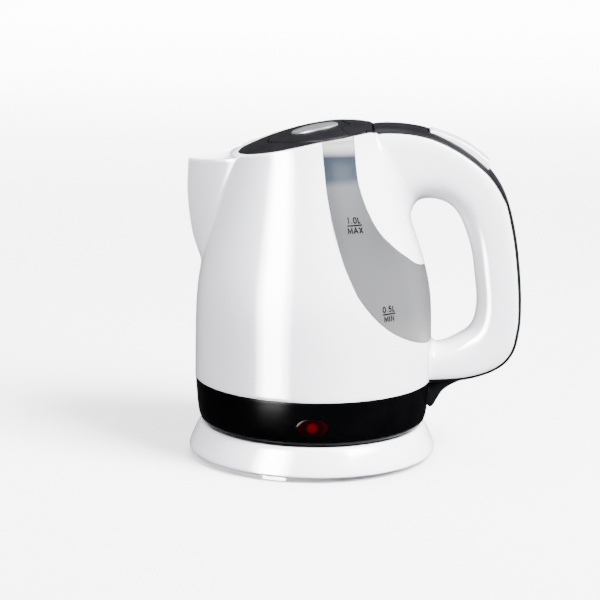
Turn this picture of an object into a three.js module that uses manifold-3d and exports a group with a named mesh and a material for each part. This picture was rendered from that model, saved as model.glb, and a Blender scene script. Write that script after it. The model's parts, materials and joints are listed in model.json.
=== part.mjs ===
// A one litre electric kettle on a cordless power base.
// Millimetres, +Z up. The origin is on the body's axis where the base meets the table.
// The spout points to -X and the handle to +X.
import * as THREE from "three";
import { mergeVertices } from "three/addons/utils/BufferGeometryUtils.js";
import Module from "manifold-3d";

const wasm = await Module();
wasm.setup();

// ---------- driving dimensions ----------
const GAP = 0.3; // between pieces that touch
const WALL = 2.0; // outer mouldings
const TABLE_TO_PLATE = 0.3; // the hub pad and feet stand on the table, the plate just above
const BASE_RADIUS = 70.3;
const BASE_TOP = 18.6;
const RING_BOTTOM = 19.3;
const RING_TOP = 45;
const RING_RADIUS = 67;
const BODY_RADIUS = 67.3;
const FLOOR_TOP = 51.7; // water side of the heater plate
const TAPER = { slope: 0.31, start: 100, blend: 8 };
const LEAN = 0.19; // the section's centre moves to the spout as the body tapers
const RIM_FLARE = { start: 172, rate: 0.006 };
const JUG_GAP = 2.3; // from the body's outside to the jug's outside
const JUG_WALL = 1.8;
const LID = { x: -4.5, radius: 39.4, dome: 3, plate: 2.4, mouthX: -6, mouthRadius: 34 };
const HINGE = { x: 29.9, z: 187.6, roll: 1.5, pin: 0.8, half: 15.6 };
const BUTTON = { x: -1.2, long: 13, wide: 10, proud: 1.0 };
const LAMP = { x: 1, z: 30.7, long: 9, high: 5.15 };
const SOCKET = { radius: 17.5, top: 29 };
const RIM = { start: 30, height: 188.9, fall: 0.00482, ease: 0.0000272 }; // slopes down to the spout
const SEAT = 3.2; // how far the lid's well goes under the rim
const SPOUT = { low: 108, high: 176, half: 17.8, root: 110 };
const STEAM = { z: 176, radius: 3 }; // the hole that lets steam out to the switch
const SCREW = { head: 3.2, headHigh: 0.8, shank: 1.5, clear: 2, sink: 3.6 };
const BASE_SCREWS = { circle: 44, angles: [30, 150, 270] };
const BASE_FEET = { circle: 58, angles: [45, 135, 225, 315], radius: 5.4, high: 1 };
const JUG_SCREWS = { circle: 38, angles: [60, 180, 300] };
const GLAND = { z: 8.8, outside: 4.6, bore: 3.3, flange: 5.8 };

const ROUND = 32; // sides of the large round pieces
const SMOOTHING = 0.12; // the finest step that the meshes keep
const FAR = 110; // past every side of the kettle
const LOW = 20; // under the jug's outer skin
const HIGH = 205; // over the jug's outer skin
const LID_ZONE = [150, 215]; // heights that hold the lid and its well

// ---------- solids and cuts ----------
function solid(geometry) {
  const loose = geometry.index ? geometry.toNonIndexed() : geometry.clone();
  loose.deleteAttribute("normal");
  loose.deleteAttribute("uv");
  const merged = mergeVertices(loose, 1e-4);
  const index = merged.index.array;
  const faces = [];
  for (let i = 0; i < index.length; i += 3) {
    const [a, b, c] = [index[i], index[i + 1], index[i + 2]];
    if (a !== b && b !== c && c !== a) faces.push(a, b, c);
  }
  const vertices = new Float32Array(merged.attributes.position.array);
  const build = (list) =>
    new wasm.Manifold(
      new wasm.Mesh({ numProp: 3, vertProperties: vertices, triVerts: new Uint32Array(list) }),
    );
  const made = build(faces);
  return made.volume() < 0 ? build(faces.reverse()) : made;
}

function geometryOf(shape) {
  const mesh = shape.simplify(SMOOTHING).getMesh();
  const geometry = new THREE.BufferGeometry();
  geometry.setAttribute("position", new THREE.BufferAttribute(mesh.vertProperties, 3));
  geometry.setIndex(new THREE.BufferAttribute(mesh.triVerts, 1));
  geometry.computeVertexNormals();
  return geometry;
}

const all = (shapes) => shapes.reduce((sum, shape) => sum.add(shape));

// ---------- basic shapes ----------
const points = (pairs) => pairs.map(([a, b]) => new THREE.Vector2(a, b));

function lathe(profile, sides = ROUND) {
  return solid(new THREE.LatheGeometry(points(profile), sides).rotateX(Math.PI / 2));
}

// A ring of square section round the Z axis.
const hoop = (inner, outer, low, high, sides = ROUND) =>
  lathe([[inner, low], [outer, low], [outer, high], [inner, high], [inner, low]], sides);

function disc(x, y, radius, low, high, sides = ROUND) {
  const geometry = new THREE.CylinderGeometry(radius, radius, high - low, sides);
  return solid(geometry.rotateX(Math.PI / 2).translate(x, y, (low + high) / 2));
}

function box(low, high) {
  const size = high.map((value, i) => value - low[i]);
  const middle = high.map((value, i) => (value + low[i]) / 2);
  return solid(new THREE.BoxGeometry(...size).translate(...middle));
}

// A side outline in X and Z, as thick as low to high in Y.
function side(outline, low, high) {
  const shape = new THREE.Shape(points(outline));
  const geometry = new THREE.ExtrudeGeometry(shape, { depth: high - low, bevelEnabled: false });
  return solid(geometry.rotateX(Math.PI / 2).translate(0, high, 0));
}

// A plan outline in X and Y, from low to high in Z.
function plan(outline, low, high) {
  const shape = new THREE.Shape(points(outline));
  const geometry = new THREE.ExtrudeGeometry(shape, { depth: high - low, bevelEnabled: false });
  return solid(geometry.translate(0, 0, low));
}

function ellipse(x, y, a, b, count = 24) {
  const curve = new THREE.EllipseCurve(x, y, a, b, 0, 2 * Math.PI);
  return curve.getPoints(count).slice(0, -1).map((p) => [p.x, p.y]);
}

function spline(pairs, count) {
  return new THREE.SplineCurve(points(pairs)).getPoints(count).map((p) => [p.x, p.y]);
}

// A line moved sideways, to its left where distance is positive.
function beside(line, distance, closed = false) {
  const count = line.length;
  return line.map(([x, z], i) => {
    const [x0, z0] = line[closed ? (i + count - 1) % count : Math.max(i - 1, 0)];
    const [x1, z1] = line[closed ? (i + 1) % count : Math.min(i + 1, count - 1)];
    const length = Math.hypot(x1 - x0, z1 - z0);
    return [x - (distance * (z1 - z0)) / length, z + (distance * (x1 - x0)) / length];
  });
}

function axleY(x, z, radius, low, high, sides = 12) {
  const geometry = new THREE.CylinderGeometry(radius, radius, high - low, sides);
  return solid(geometry.translate(x, (low + high) / 2, z));
}

function axleX(y, z, radius, low, high, sides = 12) {
  const geometry = new THREE.CylinderGeometry(radius, radius, high - low, sides);
  return solid(geometry.rotateZ(Math.PI / 2).translate((low + high) / 2, y, z));
}

function tube(path, radius, steps, sides = 8) {
  const curve = new THREE.CatmullRomCurve3(path.map((p) => new THREE.Vector3(...p)));
  const shape = new THREE.Shape(points(ellipse(0, 0, radius, radius, sides)));
  return solid(new THREE.ExtrudeGeometry(shape, { extrudePath: curve, steps, bevelEnabled: false }));
}

// Joins closed sections of equal length into one solid with flat ends.
function loft(sections) {
  const count = sections[0].length;
  const index = [];
  for (let s = 0; s + 1 < sections.length; s += 1) {
    for (let i = 0; i < count; i += 1) {
      const [a, b] = [s * count + i, s * count + ((i + 1) % count)];
      index.push(a, b, b + count, a, b + count, a + count);
    }
  }
  const last = (sections.length - 1) * count;
  const flat = sections[0].map((p) => new THREE.Vector2(p.v, p.w));
  for (const [a, b, c] of THREE.ShapeUtils.triangulateShape(flat, [])) {
    index.push(a, c, b, last + a, last + b, last + c);
  }
  const geometry = new THREE.BufferGeometry();
  const flatList = sections.flat().flatMap((p) => [p.x, p.y, p.z]);
  geometry.setAttribute("position", new THREE.Float32BufferAttribute(flatList, 3));
  geometry.setIndex(index);
  return solid(geometry);
}

// ---------- the body's form ----------
function taper(z) {
  return TAPER.slope * TAPER.blend * Math.log(1 + Math.exp((z - TAPER.start) / TAPER.blend));
}
const bodyRadius = (z) =>
  BODY_RADIUS - taper(z) + RIM_FLARE.rate * Math.max(z - RIM_FLARE.start, 0) ** 2;
const bodyCentre = (z) => -LEAN * taper(z);

// The height of the body's sloping rim at x.
function rimHeight(x) {
  const d = Math.max(RIM.start - x, 0);
  return RIM.height - RIM.fall * d ** 2 + RIM.ease * d ** 3;
}

// The body's form, grown by offset, between two heights.
const BODY_LEVELS = [84, 94, 102, 112, 145, 172, 182];
function bodySolid(offset, low, high) {
  const inside = BODY_LEVELS.filter((z) => z > low && z < high);
  const levels = [low, ...inside, high];
  const profile = [[0, low], ...levels.map((z) => [bodyRadius(z) + offset, z]), [0, high]];
  const geometry = new THREE.LatheGeometry(points(profile), ROUND).rotateX(Math.PI / 2);
  const position = geometry.attributes.position;
  for (let i = 0; i < position.count; i += 1) {
    position.setX(i, position.getX(i) + bodyCentre(position.getZ(i)));
  }
  return solid(geometry);
}

// Everything lower than the rim, moved by offset.
function underRim(offset) {
  const line = [30, 18, 6, -6, -18, -30, -42, -54, -66].map((x) => [x, rimHeight(x) + offset]);
  const front = line.at(-1)[1];
  return side([[-FAR, 0], [FAR, 0], [FAR, line[0][1]], ...line, [-FAR, front]], -FAR, FAR);
}

// The round well that the lid lies in, down to a depth under the rim.
const lidWell = (depth) =>
  disc(LID.x, 0, LID.radius + GAP, ...LID_ZONE).subtract(underRim(-depth));

// Front and rear edges of the water window in side view.
const windowFront = spline(
  [[0.6, 195], [1.2, 183], [4.6, 171], [8.2, 152], [13.4, 130], [23.2, 106], [41.3, 84],
    [65.7, 68.7], [92, 58]], 17);
const windowRear = spline(
  [[20.6, 195], [23.7, 168], [27, 157], [38.9, 136.2], [51.7, 120.6], [61.5, 112.5], [92, 96]], 14);

// Everything to the handle's side of an edge that runs down from the rim.
function behind(line) {
  const corners = [[FAR, line.at(-1)[1]], [FAR, FAR * 2], [line[0][0], FAR * 2]];
  return side([...line, ...corners], -FAR, FAR);
}

// The outer skin from above the black ring to the rim, open at the bottom and at the lid.
const RIM_THICK = 2.7;
function outerSkin() {
  const outside = bodySolid(0, RING_TOP + GAP, HIGH).intersect(underRim(0));
  const hollow = bodySolid(-WALL, LOW, HIGH).intersect(underRim(-RIM_THICK));
  return outside.subtract(hollow).subtract(lidWell(SEAT));
}

// ---------- spout ----------
const spoutKeel = new THREE.SplineCurve(
  points([[-63.4, 108], [-65.2, 113.5], [-69.2, 125.5], [-71.4, 139], [-72.5, 153], [-71.6, 176]]));

const SPOUT_STEPS = 12;
const SPOUT_BULGE = 1.25; // 1 would be a wedge, 2 an ellipse

// One level section of the spout, with both sides set in by inset.
function spoutSection(z, inset) {
  const t = (z - SPOUT.low) / (SPOUT.high - SPOUT.low);
  const keel = spoutKeel.getPoint(Math.min(Math.max(t, 0), 1)).x + inset * 1.5;
  const grown = Math.sqrt(Math.max(z - SPOUT.root, 1) / 62);
  const half = Math.max(SPOUT.half * grown - inset, 1);
  const front = bodyCentre(z) - Math.sqrt(bodyRadius(z) ** 2 - half ** 2);
  const edge = [];
  for (let i = 0; i <= SPOUT_STEPS; i += 1) {
    const across = 1 - (2 * i) / SPOUT_STEPS;
    const forward = 1 - Math.abs(across);
    const y = half * Math.sign(across) * (1 - forward ** SPOUT_BULGE) ** (1 / SPOUT_BULGE);
    edge.push([front + (keel - front) * forward, y]);
  }
  const back = front + 14; // well inside the body
  return [[back, half], ...edge, [back, -half]].map(([x, y]) => ({ x, y, z, v: x, w: y }));
}

function spoutSolid(inset, low, high) {
  const levels = [low, 113, 118, 125, 134, 146, 158, 168].filter((z) => z >= low && z < high);
  return loft([...new Set([...levels, high])].map((z) => spoutSection(z, inset)));
}

// ---------- handle ----------
// Stations round the handle: the inner point by the finger gap, the outer point on the spine,
// the half width, and how deep the black spine reaches.
const STATIONS = [
  [44, 141, 31.9, 189.7, 18.5, 3.2],
  [52.8, 144.4, 40, 190.3, 17.6, 3.2],
  [59.4, 148.3, 53, 189.6, 16.8, 3.2],
  [65, 149, 66, 186.6, 16, 3.2],
  [70.2, 148.2, 80, 179.9, 15.3, 3],
  [74.9, 146.1, 92, 171.2, 14.8, 2.6],
  [80.5, 140.6, 101, 162, 14.4, 2.3],
  [85.2, 130.7, 108.2, 149, 14.1, 2.1],
  [88.8, 118.6, 113.2, 130, 14, 2],
  [90.8, 105.2, 116.2, 109, 14, 2],
  [92.3, 91.7, 117.5, 90, 14, 2],
  [91.2, 80.5, 117.2, 76, 14, 2.1],
  [87.8, 74.2, 114, 61.5, 14, 2.4],
  [82, 70.2, 105.5, 52, 14, 2.8],
  [74.8, 66.5, 90, 46, 14.2, 3],
  [66, 65, 72, 43.8, 14.6, 3],
  [56, 65, 56, 43.2, 15, 3],
];
const SECTION_POINTS = 16;
const SQUARENESS = { spine: 4.5, grip: 2.5 };
const HANDLE_WALL = 2.4;
const SPINE_WALL = 0.55; // the cover's wall as a share of its depth

// The arm's section at a station, set in from the finger gap, the spine and the sides.
function handleSection([xi, zi, xo, zo, half], inner, outer, narrow) {
  const length = Math.hypot(xo - xi, zo - zi);
  const [ux, uz] = [(xo - xi) / length, (zo - zi) / length];
  const mid = (inner + length - outer) / 2;
  const reach = (length - outer - inner) / 2;
  const ring = [];
  for (let i = 0; i < SECTION_POINTS; i += 1) {
    const angle = (2 * Math.PI * (i + 0.5)) / SECTION_POINTS;
    const square = Math.cos(angle) > 0 ? SQUARENESS.spine : SQUARENESS.grip;
    const round = (value) => Math.sign(value) * Math.abs(value) ** (2 / square);
    const along = mid + reach * round(Math.cos(angle));
    const y = (half - narrow) * round(Math.sin(angle));
    ring.push({ x: xi + ux * along, y, z: zi + uz * along, v: along, w: y });
  }
  return ring;
}

const handleOutside = () => loft(STATIONS.map((s) => handleSection(s, 0, 0, 0)));
const handleInside = () =>
  loft(STATIONS.map((s) => handleSection(s, HANDLE_WALL, s[5] * SPINE_WALL, HANDLE_WALL)));

// Everything outside the line where the spine cover meets the white handle.
function spineSide(offset) {
  const at = ([xi, zi, xo, zo, , depth], extra) => {
    const length = Math.hypot(xo - xi, zo - zi);
    const k = (length - depth + extra) / length;
    return [xi + (xo - xi) * k, zi + (zo - zi) * k];
  };
  const inner = STATIONS.map((s) => at(s, offset));
  const far = [...STATIONS].reverse().map((s) => at(s, 14));
  return side([...inner, ...far], -40, 40);
}

// The black tail from the spine down to the ring, and the channel for the leads inside it.
const GUSSET = [[60, 45.6], [65, 38], [65.4, 31.2], [66, 30], [67.8, 29.6], [69.2, 30.8], [71.2, 34.9],
  [73.8, 38.9], [77.4, 42], [82.4, 44.6], [86, 46]];
const GUSSET_INSIDE = [[60, 49], [64.5, 40], [65, 33.4], [67.3, 33.6], [69.2, 36.6], [72, 40.6],
  [76.2, 44], [81.5, 46.6], [81.5, 49]];
const GUSSET_HALF = 9.5;

const ROCKER = [[64.3, 188.4], [73.9, 185.2], [83.7, 181], [91.5, 175.7], [96.2, 172.2], [97.6, 170.4],
  [97.4, 168], [95, 163.5], [84, 170], [74, 176.3], [66.5, 180.4], [63.4, 185.4]];
const ROCKER_HALF = 7.8;
const ROCKER_AXIS = [80, 172];
const ROCKER_PIN = { radius: 1.2, half: 12.4 };

// The room for the switch rocker to swing in.
const ROCKER_PLAY = 0.6;
function rockerPocket() {
  const pocket = [[62.2, 200], [62.2, 181.5], [64.5, 178], [83, 166.5], [94.5, 159.3], [98.4, 165],
    [99.2, 172], [99, 200]];
  return side(pocket, -ROCKER_HALF - ROCKER_PLAY, ROCKER_HALF + ROCKER_PLAY);
}

function rockerAxle(grow) {
  const half = ROCKER_PIN.half + grow;
  return axleY(...ROCKER_AXIS, ROCKER_PIN.radius + grow, -half, half);
}

// Steam passes from the top of the jug to the switch through this hole.
const steamHole = () => axleX(0, STEAM.z, STEAM.radius, 20, 60, 12);

// ---------- the group and its materials ----------
const group = new THREE.Group();

const FINISH = {
  white: [0xf1f1f5, 0.28, 0],
  black: [0x17181b, 0.35, 0],
  ringBlack: [0x101113, 0.18, 0],
  smoke: [0xa3a9b0, 0.25, 0],
  silver: [0xcfd1d4, 0.3, 0.6],
  red: [0x5a0808, 0.2, 0],
  steel: [0xb9bcc0, 0.35, 1],
  brass: [0xc8a650, 0.35, 1],
  grey: [0x8d9096, 0.6, 0],
  rubber: [0x2a2a2c, 0.85, 0],
  silicone: [0xe4e0d8, 0.7, 0],
  wire: [0x7a2f2a, 0.5, 0],
};

function add(name, finish, shape) {
  const [color, roughness, metalness] = FINISH[finish];
  const material = new THREE.MeshStandardMaterial({ color, roughness, metalness });
  const mesh = new THREE.Mesh(geometryOf(shape), material);
  mesh.name = name;
  group.add(mesh);
}

// ---------- screws ----------
// Places at even height on a circle round the Z axis.
const around = (circle, degrees) => {
  const angle = (degrees * Math.PI) / 180;
  return [circle * Math.cos(angle), circle * Math.sin(angle)];
};
const placesOf = ({ circle, angles }) => angles.map((degrees) => around(circle, degrees));

const screw = ([x, y], low, tip) =>
  disc(x, y, SCREW.head, low, low + SCREW.headHigh, 12).add(disc(x, y, SCREW.shank, low, tip, 8));

// A clearance hole with a sunk seat for the head.
const screwHole = ([x, y], low, seat, top) =>
  disc(x, y, SCREW.clear, low, top, 8).add(disc(x, y, SCREW.sink, low, seat, 12));

// ---------- power base ----------
function powerBase() {
  const outside = [[0, 2.8], [69.9, 2.8], [BASE_RADIUS, 3.6], [69.3, 7], [67.9, 11], [66.2, 15],
    [64.9, 17.6], [63.6, BASE_TOP], [61, BASE_TOP], [59.5, 17.4], [0, 17.4]];
  const hollow = [[0, 0], [67.8, 0], [68, 4], [66.2, 10.5], [64.4, 14.4], [62.4, 15.2], [0, 15.2]];
  const towers = placesOf(BASE_SCREWS).map(([x, y]) => disc(x, y, 4, 9.8, 16, 10));
  const cover = all([lathe(outside).subtract(lathe(hollow)), ...towers])
    .subtract(disc(0, 0, SOCKET.radius + GAP, -5, 40, 24))
    .subtract(axleY(0, GLAND.z, GLAND.outside + GAP, 50, 80, 20));
  add("base_cover", "white", cover);

  const plate = [[0, 0], [15, 0], [15, TABLE_TO_PLATE], [67.3, TABLE_TO_PLATE], [67.3, 2.5], [0, 2.5]];
  const holes = placesOf(BASE_SCREWS).map((place) => screwHole(place, -5, 1.6, 9));
  const pockets = placesOf(BASE_FEET).map(([x, y]) =>
    disc(x, y, BASE_FEET.radius + 0.4, -5, BASE_FEET.high + GAP, 14));
  add("base_plate", "white", lathe(plate).subtract(all([...holes, ...pockets])));

  placesOf(BASE_FEET).forEach(([x, y], i) => {
    add(`base_foot_${i + 1}`, "rubber", disc(x, y, BASE_FEET.radius, 0, BASE_FEET.high, 14));
  });
  placesOf(BASE_SCREWS).forEach((place, i) => {
    add(`base_screw_${i + 1}`, "steel", screw(place, 0.5, 9.4));
  });

  const pillar = [[0, 3], [24, 3], [24, 14.9], [SOCKET.radius, 14.9], [SOCKET.radius, 28],
    [16.5, SOCKET.top], [0, SOCKET.top]];
  const groove = hoop(8.4, 11.2, 18, 40, 24);
  const socket = lathe(pillar, 24).subtract(groove).subtract(disc(0, 0, 3.2, 16, 40, 16));
  add("base_socket", "black", socket);
  add("base_ring_contact", "brass", hoop(9.1, 10.5, 18.3, 19, 24));
  add("base_center_contact", "brass", disc(0, 0, 2.6, 16.3, 17.2, 16));

  const gland = axleY(0, GLAND.z, GLAND.outside, 60.5, 70.5, 20)
    .add(axleY(0, GLAND.z, GLAND.flange, 60.5, 62.5, 20))
    .subtract(axleY(0, GLAND.z, GLAND.bore, 50, 80, 16));
  add("cord_gland", "white", gland);
}

// ---------- underside of the jug ----------
function underBody() {
  const outside = [[0, RING_BOTTOM], [61.4, RING_BOTTOM], [63.2, 20.2], [64.7, 22], [65.9, 28],
    [66.5, 35], [RING_RADIUS, RING_TOP], [0, RING_TOP]];
  const hollow = [[0, 10], [58.5, 10], [58.5, 21.6], [62.4, 23.4], [63.7, 28.5], [64.4, 35],
    [64.8, 60], [0, 60]];
  const lamp = (grow) => side(ellipse(LAMP.x, LAMP.z, LAMP.long + grow, LAMP.high + grow), -FAR, -40);
  const leadHole = axleX(0, 35, 4.5, 50, 80, 16);
  const ring = lathe(outside).subtract(lathe(hollow));
  add("skirt_ring", "ringBlack", ring.subtract(lamp(GAP)).subtract(leadHole));
  add("indicator_lens", "red", ring.intersect(lamp(0)));
  add("indicator_lamp", "red", axleY(LAMP.x, LAMP.z, 3, -63.2, -56));

  const screwHoles = placesOf(JUG_SCREWS).map((place) => screwHole(place, 10, 20.8, 30));
  add("bottom_cover", "black", hoop(20.4, 58.2, 19.6, 21.8).subtract(all(screwHoles)));
  placesOf(JUG_SCREWS).forEach((place, i) => {
    add(`bottom_screw_${i + 1}`, "steel", screw(place, 19.7, 30));
  });

  const control = [[18.4, 22.2], [25, 22.2], [25, 39], [0, 39], [0, 30], [18.4, 30], [18.4, 22.2]];
  const pinHoles = hoop(8.7, 10.8, 20, 36.5, 24).add(disc(0, 0, 2.2, 20, 36.5, 16));
  add("kettle_control", "black", lathe(control, 24).subtract(pinHoles));
  add("coupler_pin", "brass", disc(0, 0, 1.8, 18, 36, 16));
  add("coupler_ring", "brass", hoop(9.2, 10.3, 20, 36, 24));
  [-1, 1].forEach((way, i) => {
    add(`bimetal_disc_${i + 1}`, "steel", disc(12 * way, 0, 7, 39.4, 39.9, 20));
  });
}

// ---------- heater ----------
const COIL = { circle: 44, z: 44.4, radius: 3.4, start: 205, sweep: 310, steps: 14 };

function heater() {
  const pan = [[0, 48.4], [57, 48.4], [60.5, 50.2], [64.4, 50.2], [64.4, FLOOR_TOP],
    [60, FLOOR_TOP], [56.4, 49.9], [0, 49.9]];
  add("heater_plate", "steel", lathe(pan));
  const loop = [];
  for (let i = 0; i <= COIL.steps; i += 1) {
    const degrees = COIL.start + (COIL.sweep * i) / COIL.steps;
    loop.push([...around(COIL.circle, degrees), COIL.z]);
  }
  add("heating_element", "steel", tube(loop, COIL.radius, 22));
  add("heater_seal", "silicone", hoop(59.9, 63.9, 52, 53.6));
}

// ---------- jug, window and outer body ----------
// The water leaves the jug for the spout through this hole.
const pourHole = () => box([-70, -10, 138], [-35, 10, 162]).intersect(bodySolid(0.2, 120, 170));

const JUG_BOTTOM = 53.9;
const JUG_INSIDE = -JUG_GAP - JUG_WALL;

function jug() {
  const inWindow = behind(beside(windowFront, GAP / 2)).subtract(behind(beside(windowRear, -GAP / 2)));
  const panes = bodySolid(-GAP, JUG_BOTTOM, HIGH).intersect(underRim(0)).intersect(inWindow);
  const core = bodySolid(-JUG_GAP, JUG_BOTTOM, HIGH).intersect(underRim(-3));
  const hollow = bodySolid(JUG_INSIDE, LOW, HIGH).intersect(underRim(-5.2));
  const mouth = disc(LID.mouthX, 0, LID.mouthRadius, ...LID_ZONE);
  const shape = core.add(panes).subtract(lidWell(3)).subtract(hollow).subtract(mouth)
    .subtract(pourHole()).subtract(steamHole());
  add("inner_jug", "smoke", shape);
}

const FILTER_WALL = 2;

function filter() {
  const outside = JUG_INSIDE - GAP;
  const skin = bodySolid(outside, 120, 170).subtract(bodySolid(outside - FILTER_WALL, 110, 180));
  const frame = skin.intersect(box([-70, -16, 126], [0, 16, 163]));
  const panes = [[-12.6, -1], [1, 12.6]].map(([low, high]) => box([-70, low, 130.4], [0, high, 160.6]));
  add("filter_frame", "white", frame.subtract(all(panes)));
  const middle = outside - FILTER_WALL - 0.6;
  const meshSkin = bodySolid(middle, 128, 164).subtract(bodySolid(middle - 0.5, 120, 170));
  add("filter_mesh", "steel", meshSkin.intersect(box([-70, -15, 128], [0, 15, 162.4])));
}

function body() {
  const skin = outerSkin().subtract(behind(beside(windowFront, -GAP / 2)));
  const lip = side([[-90, 100], [-20, 100], [-20, 175.8], [-46.3, 172], [-71.8, 168.7], [-90, 166.3]],
    -30, 30);
  const spout = spoutSolid(0, SPOUT.low, SPOUT.high).intersect(lip)
    .subtract(bodySolid(-WALL, LOW, HIGH));
  const channel = spoutSolid(WALL, 126, 178).subtract(bodySolid(-0.4, LOW, HIGH));
  const shell = skin.add(spout).subtract(channel).subtract(pourHole());
  const screwPoint = axleX(0, 55.5, 1.7, 40, 90, 12);
  add("body_shell", "white", shell.subtract(lidWell(SEAT)).subtract(screwPoint));
}

// ---------- handle and cover ----------
function handle() {
  const wings = outerSkin().intersect(behind(beside(windowRear, GAP / 2)));
  const arm = handleOutside().subtract(handleInside());
  const lowClear = bodySolid(GAP, LOW, 100).add(disc(0, 0, RING_RADIUS + 2 * GAP, 0, 46));
  const topClear = bodySolid(-WALL, 99, HIGH);
  const hingeNotch = box([24, -20, 183.6], [36, 20, 215]);
  const white = arm.subtract(topClear).add(wings).subtract(lowClear).subtract(spineSide(-GAP / 2))
    .subtract(lidWell(SEAT)).subtract(rockerPocket()).subtract(steamHole())
    .subtract(hingeNotch).subtract(rockerAxle(GAP));
  add("handle_shell", "white", biggest(white));

  const gusset = side(GUSSET, -GUSSET_HALF, GUSSET_HALF)
    .subtract(side(GUSSET_INSIDE, WALL - GUSSET_HALF, GUSSET_HALF - WALL));
  const strip = arm.intersect(spineSide(GAP / 2)).subtract(lowClear);
  const ears = [-1, 1].map((way) =>
    box([28.7, way > 0 ? 16 : -19.6, 186.2], [35.6, way > 0 ? 19.6 : -16, 189]));
  const bridge = side(
    [[32, 186.2], [35.6, 186.2], [36.6, 187.5], [44, 187.5], [44, 189.8], [32, 189.6]], -16.6, 16.6);
  const half = HINGE.half + GAP;
  const rollClear = axleY(HINGE.x, HINGE.z, HINGE.roll + 0.4, -half, half, 16)
    .add(box([20, -half, 180], [31.6, half, 200]));
  const inShape = bodySolid(0, 150, HIGH).add(handleOutside());
  const hingeBlock = all([bridge, ...ears]).intersect(inShape);
  const cover = all([strip, gusset, hingeBlock]).subtract(lowClear).subtract(rockerPocket())
    .subtract(rollClear).subtract(axleY(HINGE.x, HINGE.z, HINGE.pin + GAP, -25, 25, 16))
    .subtract(box([66, -5, 41], [77, 5, 47])).subtract(rockerAxle(GAP));
  add("handle_cover", "black", biggest(cover));
  add("lid_hinge_pin", "steel", axleY(HINGE.x, HINGE.z, HINGE.pin, -18.6, 18.6, 16));
}

// The largest of a shape's separate bodies.
function biggest(shape) {
  return shape.decompose().sort((a, b) => b.volume() - a.volume())[0];
}

// ---------- switch ----------
// A lead's way from the switch through the handle and its tail to the control under the jug.
const LEAD_ROUTE = [[82, 3, 156], [92, 3, 146], [99, 3, 130], [103.5, 3, 110], [104.5, 3, 90],
  [101, 3, 70], [90, 3, 58], [78, 3, 52], [70.6, 2.2, 42], [66, 2, 36], [58, 2, 35], [28, 2, 35]];

function steamSwitch() {
  const rocker = side(ROCKER, -ROCKER_HALF, ROCKER_HALF)
    .add(axleY(...ROCKER_AXIS, 3, -ROCKER_HALF, ROCKER_HALF)).subtract(rockerAxle(GAP));
  add("switch_rocker", "white", rocker);
  add("rocker_pin", "steel", rockerAxle(0));
  const block = side([[66, 166], [80, 157.5], [84, 164], [70, 172.5]], -8, 8);
  add("switch_block", "grey", block);
  add("trip_lever", "silicone", side([[61.5, 160], [63, 160], [64.2, 176], [62.7, 176]], -4, 4));
  add("steam_bimetal", "steel", axleX(0, 168, 6, 56.4, 56.9, 20));
  [-1, 1].forEach((way, i) => {
    const route = LEAD_ROUTE.map(([x, y, z]) => [x, y * way, z]);
    add(`switch_lead_${i + 1}`, "wire", tube(route, 1.1, 26, 6));
  });
}

// ---------- lid ----------
// Everything under the lid's domed top, moved by offset.
function underDome(offset) {
  const radii = [48, LID.radius, 30, 20, 10, 0];
  const [low, high] = [120, 220];
  const profile = [[0, low], [radii[0], low], ...radii.map((r) => [r, high])];
  const geometry = new THREE.LatheGeometry(points(profile), ROUND).rotateX(Math.PI / 2);
  const position = geometry.attributes.position;
  for (let i = 0; i < position.count; i += 1) {
    const [dx, y] = [position.getX(i), position.getY(i)];
    const x = dx + LID.x;
    const dome = LID.dome * (1 - (dx * dx + y * y) / LID.radius ** 2);
    position.setX(i, x);
    if (position.getZ(i) > low) position.setZ(i, rimHeight(x) + dome + offset);
  }
  return solid(geometry);
}

const PANEL = [[-27.3, 0], [-25.6, 9], [-21, 16.5], [-15, 24.5], [-8, 31], [0, 34.6], [9, 35.4], [18, 32.2],
  [19.7, 30.4], [14.2, 18], [13.6, 12]];
const panelOutline = [...PANEL, [18, 0], ...PANEL.slice(1).reverse().map(([x, y]) => [x, -y])];

// The button's outline, and the top's two skins.
const oval = (grow) =>
  plan(ellipse(BUTTON.x, 0, BUTTON.long + grow, BUTTON.wide + grow), ...LID_ZONE);
const PANEL_THICK = 1.3;
const CUP = { radius: 31, wall: 2, top: 2.7, bottom: 11, roof: 9.2 };

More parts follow.
